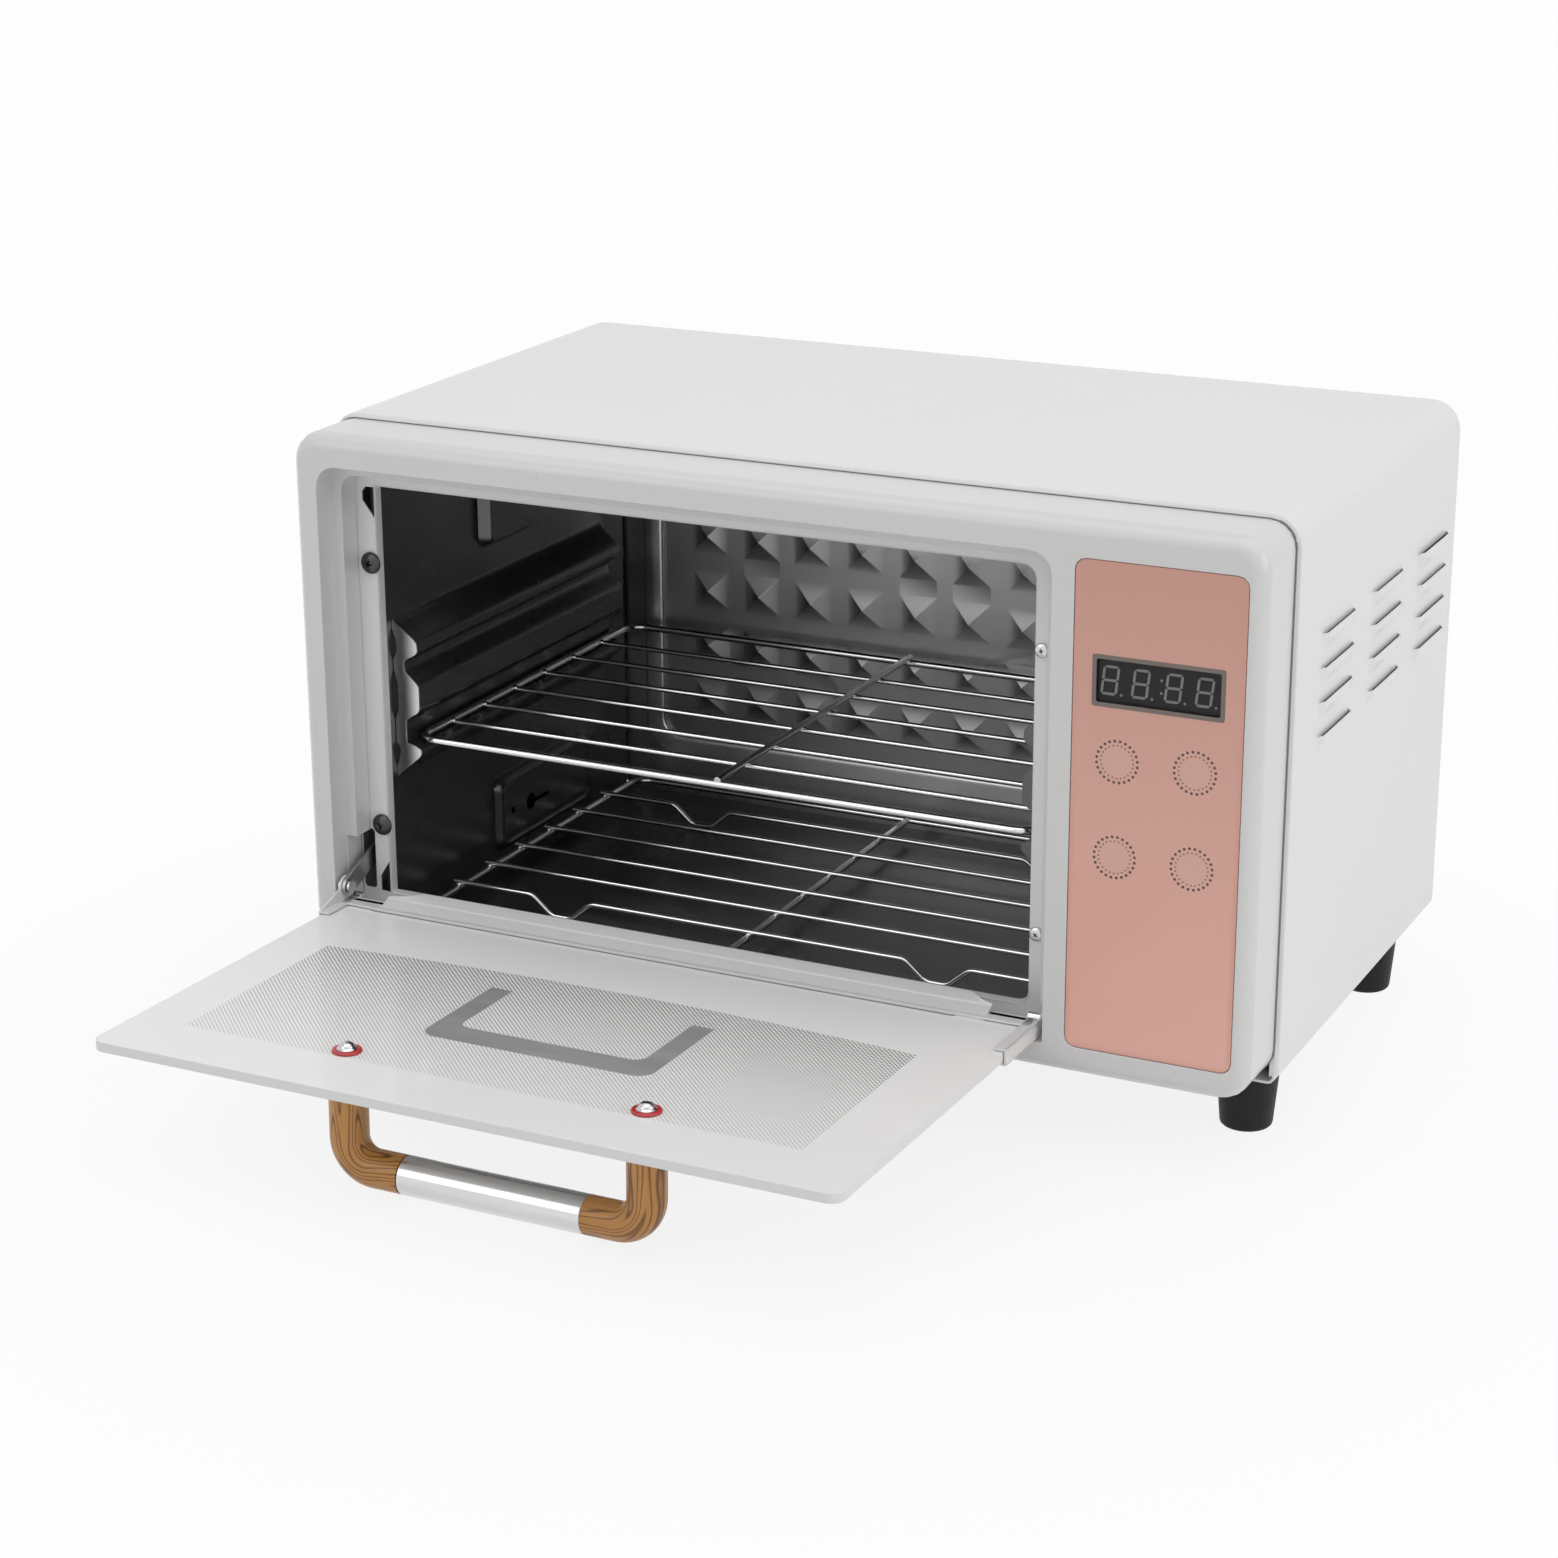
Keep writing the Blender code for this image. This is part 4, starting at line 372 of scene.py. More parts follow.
# %% [markdown]
# Plated wire and screws are the brightest metal on the cabinet. Chrome is a mirror with very fine
# drawing lines along the wire. Zinc is greyer, with a slight yellow and blue cloud from its
# passivation. The two screws left of the cavity's mouth are blackened and oily.

# %% Wire, zinc and blackened steel
def plated(name, colour, second, roughness, scale=300.0, strength=0.04):
    finish = Finish(name, colour, Metallic=1.0)
    cloud = finish.noise(finish.place(), 160.0, 3.0)
    finish.surface(Base_Color=finish.mix(cloud, colour, second),
                   Roughness=roughness + 0.08 * finish.noise(finish.place(), scale, 2.0))
    return finish.bump(finish.noise(finish.place(), scale * 4, 2.0), strength, 0.0001)


chrome = plated("chrome_wire", (0.74, 0.74, 0.75), (0.66, 0.66, 0.68), 0.10)
zinc = plated("zinc_plate", (0.66, 0.66, 0.64), (0.60, 0.62, 0.66), 0.16)
domes = plated("polished_screw", (0.58, 0.58, 0.58), (0.50, 0.50, 0.51), 0.06)
black_screw = plated("blackened_screw", (0.06, 0.06, 0.065), (0.10, 0.10, 0.10), 0.28)
spring_steel = plated("touch_spring", (0.58, 0.56, 0.50), (0.50, 0.49, 0.46), 0.25)
print("plated finishes: 5")

# %% [markdown]
# The sleeve on the handle was drawn and polished along its axis, so its scratches run lengthways. A
# noise that is stretched very long along the tube and very fine round it gives the long bands of
# light that a drawn tube has. The pattern is placed at the middle of the sleeve.

# %% Brushed sleeve
sleeve_low, sleeve_high = corners("handle_sleeve")
SLEEVE = (sleeve_low + sleeve_high) / 2
brushed = Finish("brushed_steel", grey(0.60), Metallic=1.0)
along = brushed.place(tuple(SLEEVE), scale=(60, 1, 1))
lines = brushed.noise(along, 1400.0, 5.0, 0.65)
bands = brushed.noise(along, 260.0, 2.0)
brushed.surface(Base_Color=brushed.mix(lines * 0.6 + bands * 0.4, grey(0.50), grey(0.86, 0.01)),
                Roughness=0.12 + 0.10 * lines + 0.06 * bands)
brushed.bump(lines, 0.10, 0.0001)
print("sleeve at", tuple(round(v, 4) for v in SLEEVE))

# %% [markdown]
# The grips are plastic under a printed film that copies a warm brown wood, with dark winding
# rings. The film was wrapped round the tube, so the figure follows the tube and winds round the
# bend. The helper that makes a tube, further on, keeps for every point where it would lie on the
# straightened tube, in an attribute called grain, and the pattern reads that. Slow noise stretched
# along the tube is the flow of the wood, and the contour lines of that flow are its rings.

# %% Wood-look film
WOOD_TONES = [(0.0, (0.60, 0.29, 0.075)), (0.35, (0.45, 0.20, 0.042)), (0.72, (0.24, 0.095, 0.018)),
              (1.0, (0.085, 0.028, 0.008))]


def wood_film(name, shift):
    finish = Finish(name, (0.45, 0.22, 0.07), Coat_Weight=0.12, Coat_Roughness=0.15)
    straight = finish.node("Attribute", {"attribute_name": "grain"}, "Vector")
    flow = finish.noise(finish.stretched(straight, (13.0, 88.0, 88.0), shift), 1.0, 1.5, 0.45)
    pores = finish.noise(finish.stretched(straight, (90.0, 900.0, 900.0)), 1.0, 3.0, 0.6)
    cloud = finish.noise(finish.stretched(straight, (30.0, 160.0, 160.0)), 1.0, 2.0)
    rings = finish.maths("SINE", flow * 112.0 + pores * 0.7) * 0.5 + 0.5
    line = finish.maths("POWER", rings, 5.0)
    finish.surface(Base_Color=finish.tones(line * 0.74 + pores * 0.20 + cloud * 0.34 - 0.16, WOOD_TONES),
                   Roughness=0.34 + 0.10 * pores)
    return finish.bump(line, 0.06, 0.0002)


wood = {"left": wood_film("wood_film_left", (3.1, 0.4, 7.0)),
        "right": wood_film("wood_film_right", (8.7, 2.0, 1.5))}
print("wood film for", len(wood), "grips")

# %% [markdown]
# Rubber, black plastic, fibre, boards, porcelain and quartz are small, but any of them may be seen
# when the door swings or the cabinet turns. Each gets its own scale of speckle and bump, since that
# is what tells soft rubber from hard plastic at a glance.

# %% Small parts' finishes
def speckled(name, first, second, roughness, scale, strength, **extra):
    finish = Finish(name, first, **extra)
    cloud = finish.noise(finish.place(), scale, 4.0, 0.6)
    finish.surface(Base_Color=finish.mix(cloud, first, second), Roughness=roughness + 0.14 * cloud)
    return finish.bump(finish.noise(finish.place(), scale * 3, 3.0), strength, 0.0003)


rubber = speckled("black_rubber", (0.008, 0.008, 0.009), (0.018, 0.018, 0.019), 0.46, 420.0, 0.12,
                  Specular_IOR_Level=0.25)
black_plastic = speckled("black_plastic", (0.016, 0.016, 0.018), (0.028, 0.028, 0.030), 0.30, 500.0, 0.06)
# Dark grey for the strip under the rail's lip: a painted shadow.
grey_lip = speckled("grey_lip", grey(0.22), grey(0.30), 0.5, 500.0, 0.05)
fibre = speckled("red_fibre", (0.62, 0.035, 0.035), (0.42, 0.020, 0.022), 0.34, 700.0, 0.20, Coat_Weight=0.3)
board = speckled("circuit_board", (0.02, 0.16, 0.06), (0.03, 0.24, 0.09), 0.30, 260.0, 0.15)
porcelain = speckled("porcelain", (0.78, 0.76, 0.72), (0.70, 0.68, 0.64), 0.22, 180.0, 0.05)
quartz = speckled("quartz_tube", (0.80, 0.86, 0.92), (0.70, 0.78, 0.88), 0.05, 90.0, 0.01, Coat_Weight=0.6)
quartz.surface(Alpha=0.55 + 0.25 * quartz.noise(quartz.place(), 60.0))
# Dark grey for the ring at the bottom of the groove round the case: a painted shadow.
seam_painted_shade = speckled("seam_shadow", grey(0.16), grey(0.20), 0.6, 300.0, 0.02)
# Near black for plates that stand in holes and slots: painted shade for the dark inside them.
painted_hollow_shade = speckled("deep_shadow", grey(0.002), grey(0.004), 0.8, 200.0, 0.01, Specular_IOR_Level=0.0)
print("small finishes: 9")

# %% [markdown]
# The door is clear toughened glass with white ceramic ink fired on one face. The ink leaves a
# window of small staggered dots, through which a cook could look in, and inside it a bare band in
# the shape of a wide U. The drawing is worked out from distances on the door: u runs from the
# hinge to the free edge and x across. Masks made of those distances are multiplied together. The
# window's edge near the cabinet is bowed, and the dots thin out a little towards the free edge.

# %% Printed glass
GLASS = {"half": 135.0, "low": 3.0, "high": 158.2, "corner": 5.0, "thick": 3.5, "rim": 0.22}
WINDOW = {"left": -115.0, "right": 111.0, "near": 25.0, "far": 116.0, "bow": 6.0, "dot_pitch": 1.24}
BAND = {"outer": (-42.8, 53.5, 42.4, 140.0, 6.0), "inner": (-34.6, 65.5, 34.0, 150.0, 4.0), "end": 101.0}
HINGE_PLACE = tuple(DOOR.to_translation())


def rounded_mask(finish, x, y, left, low, right_end, high, radius):
    """One inside a rounded rectangle, nought outside, from the distance to its core."""
    dx = ((x - (left + right_end) / 2).size() - ((right_end - left) / 2 - radius)).most(0.0)
    dy = ((y - (low + high) / 2).size() - ((high - low) / 2 - radius)).most(0.0)
    return (dx * dx + dy * dy) < radius * radius


glass = Finish("printed_glass", grey(0.8), IOR=1.5, Specular_IOR_Level=0.18)
across, _, up = glass.axes(glass.place(HINGE_PLACE, (OPEN, 0, 0)))
x = across * 1000.0
u = up * 1000.0
from_edge = GLASS["high"] - u
bowed = WINDOW["far"] - (x * x) * (WINDOW["bow"] / WINDOW["left"] ** 2)
window = from_edge.inside(WINDOW["near"], bowed) * x.inside(WINDOW["left"], WINDOW["right"])
per_dot = math.sqrt(0.5) / WINDOW["dot_pitch"]
cells = [glass.fraction(line * per_dot + 500.0) - 0.5 for line in (x + u, x - u)]
reach = glass.root(cells[0] * cells[0] + cells[1] * cells[1])
dot = reach < glass.ramped(from_edge, 20.0, 118.0, 0.17, 0.335)
inner = rounded_mask(glass, x, from_edge, *BAND["inner"])
band = rounded_mask(glass, x, from_edge, *BAND["outer"]) * (1 - inner) * (from_edge < BAND["end"])
white_ink = glass.mix(glass.noise(glass.place(), 40.0, 3.0), (0.94, 0.94, 0.935), (0.97, 0.97, 0.965))
# Painted view and reflection: the bare band is coloured a streaked grey for what shows through the clear
# glass, its streaks standing for reflections of the rack wires.
reflection_streaks = glass.noise(glass.place(scale=(4, 1, 1)), 90.0, 2.0)
painted_view_through = glass.mix(reflection_streaks, (0.25, 0.252, 0.252), (0.44, 0.442, 0.442))
# Painted shade: the clear dots in the ink are coloured near black for the dark seen through them.
shade = glass.mix(window * dot * (1 - band), white_ink, (0.05, 0.052, 0.052))
shade = glass.mix(window * band, shade, painted_view_through)
rim = 1 - rounded_mask(glass, x, u, -GLASS["half"] + GLASS["rim"], GLASS["low"] + 0.2,
                       GLASS["half"] - GLASS["rim"], GLASS["high"] - GLASS["rim"], GLASS["corner"] - 0.2)
glass.surface(Base_Color=glass.mix(rim, shade, (0.80, 0.81, 0.81)),
              Roughness=0.07 + 0.05 * glass.noise(glass.place(), 12.0, 3.0))
glass.bump(window * (1 - dot) + (1 - window), 0.06, 0.00005)
print("dots", WINDOW["dot_pitch"], "mm apart in a window of the door")

# %% [markdown]
# The control panel is a rose film behind clear acrylic under a hard gloss. Its colour is painted
# lighter towards the bottom and deeper towards the top, painted light and shade for how the lamps
# fall on it, and deeper at its rim, painted shade where it meets its pocket. Four touch places are
# marked by two rings of printed dots, big ones outside and small ones half a step round inside.
# Folding the panel about the middle of the four places lets one ring draw them all.

# %% Rose panel with dotted rings
RINGS = {"across": 13.1, "up": 16.15, "level": 95.95, "dots": 24}
PANEL = {"half_wide": 28.6, "half_tall": 83.0, "lowered": 1.25}
panel_low, panel_high = corners("control_panel")
rose = Finish("rose_panel", (0.5, 0.3, 0.25), Coat_Weight=0.8, Coat_Roughness=0.05)
across, _, up = rose.axes(rose.place(((panel_low.x + panel_high.x) / 2, FRONT, FOOT + RINGS["level"] * MM)))
x = across * 1000.0
z = up * 1000.0
fold_x = x.size() - RINGS["across"]
fold_z = z.size() - RINGS["up"]
from_ring = rose.root(fold_x * fold_x + fold_z * fold_z)
turned = rose.maths("ARCTAN2", fold_z, fold_x) * (RINGS["dots"] / math.tau) + 100.0


def ring_of_dots(radius, size, shift):
    step = (rose.fraction(turned + shift) - 0.5) * (math.tau / RINGS["dots"] * radius)
    away = from_ring - radius
    return rose.ramped(rose.root(step * step + away * away), size + 0.07, size - 0.07)


dots = ring_of_dots(6.95, 0.50, 0.0).most(ring_of_dots(5.50, 0.31, 0.5) * 0.8)
# Painted light and shade: the film is lighter towards the bottom and deeper towards the top.
rose_shading_and_print = rose.mix(rose.ramped(z, -84.0, 84.0), (0.86, 0.455, 0.375), (0.615, 0.312, 0.240))
to_rim = (PANEL["half_wide"] - x.size()).least(PANEL["half_tall"] - (z + PANEL["lowered"]).size())
# Painted shade: a deeper tone along the rim, where the panel meets its pocket.
rose_shading_and_print = rose.mix(rose.ramped(to_rim, 0.3, 2.2, 1.0, 0.0) * 0.5, rose_shading_and_print, (0.72, 0.32, 0.25))
rose_shading_and_print = rose.mix(rose.ramped(from_ring, 3.9, 8.0, 0.42, 0.0), rose_shading_and_print, (0.68, 0.43, 0.34))
rose.surface(Base_Color=rose.mix(dots, rose_shading_and_print, (0.075, 0.022, 0.018)),
             Roughness=0.22 + 0.06 * rose.noise(rose.place(), 60.0, 3.0))
rose.bump(rose.noise(rose.place(), 150.0, 2.0), 0.02, 0.0002)
print("rings drawn: 4, of", RINGS["dots"], "dots each")

# %% [markdown]
# The display's lens is a smoked sheet, so it lets the dark module behind it show. Alpha stands for
# its clearness, and a coat for its polish. The digits are unlit: pale grey windows in a black face.

# %% Display finishes
smoked = Finish("smoked_lens", (0.01, 0.01, 0.011), Alpha=0.22, Coat_Weight=0.1, Specular_IOR_Level=0.3)
smoked.surface(Roughness=0.10 + 0.05 * smoked.noise(smoked.place(), 80.0, 3.0))
segment = speckled("unlit_segment", (0.62, 0.62, 0.615), (0.52, 0.52, 0.52), 0.35, 900.0, 0.05)
surround = speckled("display_rim", (0.20, 0.165, 0.145), (0.17, 0.14, 0.125), 0.36, 500.0, 0.03)
print("display finishes: 3")

# %% [markdown]
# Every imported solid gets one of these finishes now, also those that a better piece will stand in
# for later, so nothing is ever bare. Each row of the table holds a finish and the beginnings of
# the solids' names that it is for, and the first row that fits a name is the one that counts.

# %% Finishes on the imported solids
PACKED = (
    (enamel, ("outer_shell", "base_pan", "rear_cover", "cavity_frame")),
    (rail_enamel, ("hinge_rail",)),
    (plastic, ("front_bezel",)),
    (rose, ("control_panel",)),
    (smoked, ("display_window",)),
    (board, ("control_board", "power_board")),
    (black_plastic, ("display_module", "lamp_ballast", "door_switch", "power_inlet")),
    (bright_sheet, ("cavity_back", "lamp_reflector")),
    (dark_sheet, ("cavity_",)),
    (arm_steel, ("link_arm",)),
    (chrome, ("upper_rack", "lower_rack")),
    (brushed, ("handle_sleeve",)),
    (glass, ("door_glass",)),
    (wood["left"], ("handle_grip_left",)),
    (wood["right"], ("handle_grip_right",)),
    (domes, ("handle_screw",)),
    (fibre, ("handle_washer",)),
    (quartz, ("uv_lamp",)),
    (porcelain, ("lamp_holder",)),
    (heater_mica, ("drying_heater",)),
    (zinc, ("thermostat", "link_rivet", "hinge_pin", "rear_screw", "foot_screw")),
    (black_screw, ("frame_screw",)),
    (spring_steel, ("touch_spring",)),
    (rubber, ("foot",)),
)
for name, solid in frame["nodes"].items():
    finish = next(finish for finish, starts in PACKED if name.startswith(starts))
    for place in solid.material_slots:
        place.material = finish.material
print("finished solids:", len(frame["nodes"]))

# %% [markdown]
# A few helpers make the detailed pieces. One turns a finished bmesh into an object that rides on a
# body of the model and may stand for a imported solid, and a short form of it is for pieces that are
# drawn on the shut door. One takes a copy of a solid's mesh, welds it and joins its flat triangles,
# so that its edges can be rounded. One rounds the edges that a test chooses, because a press or a
# mould never leaves a knife edge, and it is there that light catches.

# %% Helpers for the pieces
def finished(bm, name, finish, body="cabinet", stands_for=(), angle=35.0, place=None):
    if place is not None:
        bmesh.ops.transform(bm, matrix=place, verts=bm.verts)
    bmesh.ops.recalc_face_normals(bm, faces=bm.faces)
    mesh = bpy.data.meshes.new(name)
    bm.to_mesh(mesh)
    bm.free()
    mesh.materials.append(finish.material)
    mesh.shade_smooth()
    mesh.set_sharp_from_angle(angle=math.radians(angle))
    piece = bpy.data.objects.new(name, mesh)
    scene.collection.objects.link(piece)
    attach(piece, body)
    if stands_for:
        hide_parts(*stands_for)
    even = piece.modifiers.new("even_shading", "WEIGHTED_NORMAL")
    even.keep_sharp = True


def on_door(bm, name, finish, stands_for=(), place=Matrix.Identity(4), angle=50.0):
    finished(bm, name, finish, "door", stands_for, angle, DOOR @ place)


def copy_of(node):
    bm = bmesh.new()
    bm.from_mesh(frame["nodes"][node].data)
    bmesh.ops.remove_doubles(bm, verts=bm.verts, dist=0.004 * MM)
    bmesh.ops.dissolve_limit(bm, angle_limit=math.radians(0.4), verts=bm.verts, edges=bm.edges)
    return bm


def round_off(bm, radius, segments, chosen, least=40.0):
    """Rounds the edges that turn by more than least degrees and pass the test."""
    edges = [edge for edge in bm.edges if len(edge.link_faces) == 2
             and edge.calc_face_angle(0.0) > math.radians(least) and chosen(edge)]
    bmesh.ops.bevel(bm, geom=edges, offset=radius * MM, segments=segments, profile=0.5, affect="EDGES",
                    clamp_overlap=True, material=-1)
    return len(edges)


print("piece helpers ready")

# %% [markdown]
# The front bezel is one moulding: a drafted frame with a broad soft front edge, a stepped opening
# for the door and a shallow pocket for the panel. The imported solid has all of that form, so a copy
# of it is rounded at the opening's front edge. At its rear rim, where it meets the shell in a
# groove, rows of points are cut in and drawn towards the middle of the case, which rolls the rim
# inwards as the mould does.

# %% Front bezel
CORE = (169.5 * MM, FOOT + 10.5 * MM, FOOT + 180.7 * MM)
SKIN = 9.4 * MM
SLACK = 0.03 * MM


def from_core(place, core_low):
    """The arm from the case's core, which is a rounded oblong with no radius left, to a place."""
    near_x = max(-CORE[0], min(CORE[0], place.x))
    near_z = max(core_low, min(CORE[2], place.z))
    return place - Vector((near_x, place.y, near_z))


def pull_in(bm, edge, steps, core_low):
    """Rows of points behind or before an edge of the skin are drawn in towards the case's middle."""
    end = [face for face in bm.faces if all(abs(vert.co.y - edge) < SLACK for vert in face.verts)]
    bmesh.ops.triangulate(bm, faces=end)
    for back, _ in steps[1:]:
        skin = [face for face in bm.faces
                if all(from_core(vert.co, core_low).length > SKIN for vert in face.verts)]
        around = {item for face in skin for item in (*face.verts, *face.edges)}
        bmesh.ops.bisect_plane(bm, geom=skin + list(around), dist=0.001 * MM, plane_no=(0, 1, 0),
                               plane_co=(0, edge + back * MM, 0))
    for vert in bm.verts:
        for back, pull in steps:
            arm = from_core(vert.co, core_low)
            if abs(vert.co.y - edge - back * MM) < SLACK and arm.length > SKIN:
                vert.co -= arm * (pull * MM / arm.length)


def on_front(edge):
    return all(abs(vert.co.y - FRONT) < 0.05 * MM for vert in edge.verts)


moulding = copy_of("front_bezel")
rear_rim = max(vert.co.y for vert in moulding.verts if abs(vert.co.x) > (CASE_HALF - 0.4) * MM)
opened = round_off(moulding, 0.9, 3, on_front)
pull_in(moulding, rear_rim, ((0.0, 1.6), (-0.12, 1.1), (-0.35, 0.5), (-0.75, 0.15), (-1.3, 0.0)), CORE[1])
finished(moulding, "bezel_moulding", plastic, stands_for=("front_bezel",))
print("bezel edges rounded:", opened)

# %% [markdown]
# The case is one sheet folded over the top. At its front it is joggled inwards before it slips
# behind the bezel, which draws the fine dark line round the cabinet. Cuts with bisect_plane give
# the sheet rows of points near that edge, and those rows are pulled in step by step. Its sides run
# on down without a corner, so its core has no lower end.

# %% Outer shell
shell = copy_of("outer_shell")
shell_low, shell_high = corners("outer_shell")
pull_in(shell, shell_low.y, ((0.0, 2.0), (0.7, 1.95), (0.95, 1.2), (1.2, 0.45), (1.5, 0.1), (2.0, 0.0)), -1.0)
finished(shell, "case_shell", enamel, stands_for=("outer_shell",), angle=30.0)
print("shell from", round(shell_low.y, 4), "to", round(shell_high.y, 4))

# %% [markdown]
# A louvre is a slit whose lower lip the press pushes out into a long blister, so that warm air
# leaves and splashes don't enter. Each blister is a small grid. Its points are pushed out by a
# height that rises from nothing at the bottom and at both ends to its full reach at the slit, and
# the sheet's thickness is added inwards.

# %% Louvres in both sides
LOUVRE = {"first": 55.0, "pitch": 55.5, "length": 36.0, "low": 109.5, "rise": 11.7, "tall": 7.4, "reach": 1.7}


def smooth_step(value):
    value = max(0.0, min(1.0, value))
    return value * value * (3 - 2 * value)


def blister(bm, side, front, slit):
    made = bmesh.ops.create_grid(bm, x_segments=26, y_segments=9, size=0.5)
    for vert in made["verts"]:
        along, up = vert.co.x, vert.co.y + 0.5
        ends = smooth_step((0.5 - abs(along)) * LOUVRE["length"] / 3.2)
        bulge = smooth_step(up * 1.12 - 0.04) * ends * LOUVRE["reach"] - 0.06
        vert.co = at(side * (CASE_HALF + bulge), front + (along + 0.5) * LOUVRE["length"],
                     slit + 1.5 - (1 - up) * LOUVRE["tall"])


pressings = bmesh.new()
for side in (-1, 1):
    for column in range(3):
        for row in range(4):
            blister(pressings, side, LOUVRE["first"] + column * LOUVRE["pitch"],
                    LOUVRE["low"] + row * LOUVRE["rise"])
bmesh.ops.solidify(pressings, geom=pressings.faces, thickness=0.4 * MM)
finished(pressings, "louvre_blisters", enamel, angle=50.0)
print("louvres pressed:", 2 * 3 * 4)

# %% [markdown]
# Much on the cabinet is flat sheet with holes. Its outlines are lists of points in millimetres, and
# most of them are rounded oblongs, which four quarter arcs make.

# %% Outlines
def arc(x, y, radius, start, end, steps=10):
    angles = [math.radians(start + (end - start) * step / steps) for step in range(steps + 1)]
    return [(x + radius * math.cos(angle), y + radius * math.sin(angle)) for angle in angles]


def rounded(left, low, right, high, radius, steps=6):
    return (arc(right - radius, high - radius, radius, 0, 90, steps)
            + arc(left + radius, high - radius, radius, 90, 180, steps)
            + arc(left + radius, low + radius, radius, 180, 270, steps)
            + arc(right - radius, low + radius, radius, 270, 360, steps))


def about(x, y, half_wide, half_tall, radius):
    """A rounded oblong about its middle."""
    return rounded(x - half_wide, y - half_tall, x + half_wide, y + half_tall, radius)


print("outline helpers ready")

# %% [markdown]
# Such a sheet is easiest to draw as a flat curve: the outline and every hole are splines of one
# curve, which fills between them, and extrusion and a fine bevel give the sheet its thickness and
# its broken edge. It is turned into a mesh at once. Three matrices stand a plate up: facing the
# front at a depth of the shut door, facing it at a depth of the cabinet, and sideways.

# %% Plates from outlines
def plate(outlines, thickness, edge=0.12):
    """A bmesh of a plate in its own XY plane, in millimetres, centred on it."""
    curve = bpy.data.curves.new("outline", "CURVE")
    curve.dimensions = "2D"
    curve.fill_mode = "BOTH"
    curve.extrude = thickness / 2 - edge
    curve.bevel_depth = edge
    curve.bevel_resolution = 1
    curve.offset = -edge
    for points in outlines:
        spline = curve.splines.new("POLY")
        spline.points.add(len(points) - 1)
        for point, (x, y) in zip(spline.points, points):
            point.co = (x, y, 0, 1)
        spline.use_cyclic_u = True
    guide = bpy.data.objects.new("outline", curve)
    scene.collection.objects.link(guide)
    shape = guide.evaluated_get(bpy.context.evaluated_depsgraph_get())
    bm = bmesh.new()
    bm.from_mesh(shape.to_mesh())
    shape.to_mesh_clear()
    bpy.data.objects.remove(guide, do_unlink=True)
    bmesh.ops.remove_doubles(bm, verts=bm.verts, dist=0.001)
    return bm


def facing(depth):
    return (Matrix.Translation((0, depth * MM, 0)) @ Matrix.Rotation(math.pi / 2, 4, "X")
            @ Matrix.Scale(MM, 4))


def upright(depth):
    return Matrix.Translation((0, FRONT, FOOT)) @ facing(depth)


def sideways(x):
    return Matrix.Translation((x * MM, 0, 0)) @ Matrix.Rotation(math.pi / 2, 4, "Z") @ facing(0)


def joined(parts):
    """One bmesh of several, each moved by its own matrix."""
    whole = bmesh.new()
    for part, place in parts:
        bmesh.ops.transform(part, matrix=place, verts=part.verts)
        mesh = bpy.data.meshes.new("part")
        part.to_mesh(mesh)
        part.free()
        whole.from_mesh(mesh)
        bpy.data.meshes.remove(mesh)
    return whole


def net(rows):
    """A sheet through rows of points, which all have as many."""
    bm = bmesh.new()
    knots = [[bm.verts.new(point) for point in row] for row in rows]
    for near, far in zip(knots, knots[1:]):
        for index in range(len(near) - 1):
            bm.faces.new((near[index], near[index + 1], far[index + 1], far[index]))
    return bm


print("plate helpers ready")

# %% [markdown]
# Round the cavity's mouth stands a white sheet frame. Its left side has the link arm's slot and two
# reliefs, where the sheet was cut away beside the corner bends. Inside the mouth the
# sheet turns back as a narrow lip. From the right the lip shows as a bright line down the left edge.

# %% Cavity frame and its lip
MOUTH = {"left": DOOR_MIDDLE - 126.35, "low": 14.8, "right": DOOR_MIDDLE + 126.35, "high": 169.0}
edge_x, low_z, high_z = MOUTH["left"], MOUTH["low"], MOUTH["high"]
slot = rounded(-168.1, 16.0, -162.6, 39.2, 1.6)
upper_relief = [(edge_x, high_z), (edge_x, 168.0), (edge_x - 3.4, 167.9), (edge_x - 4.9, 166.0),
                (edge_x - 4.9, 162.8), (edge_x, 156.5)]
lower_relief = [(edge_x, 27.4), (edge_x - 4.0, 21.2), (edge_x - 4.0, 15.4), (edge_x, 15.2), (edge_x, low_z)]
right_side = [point for point in rounded(*MOUTH.values(), 5.5) if point[0] > DOOR_MIDDLE]
top_corner = [point for point in right_side if point[1] > 90]
low_corner = [point for point in right_side if point[1] < 90]
plate_low, plate_high = corners("cavity_frame")
outside = rounded(plate_low.x / MM, (plate_low.z - FOOT) / MM, plate_high.x / MM,
                  (plate_high.z - FOOT) / MM, 0.5, 2)
sheet = plate([outside, top_corner + upper_relief + lower_relief + low_corner, slot], 0.8)
finished(sheet, "mouth_frame", enamel, stands_for=("cavity_frame",), place=upright(18.7))

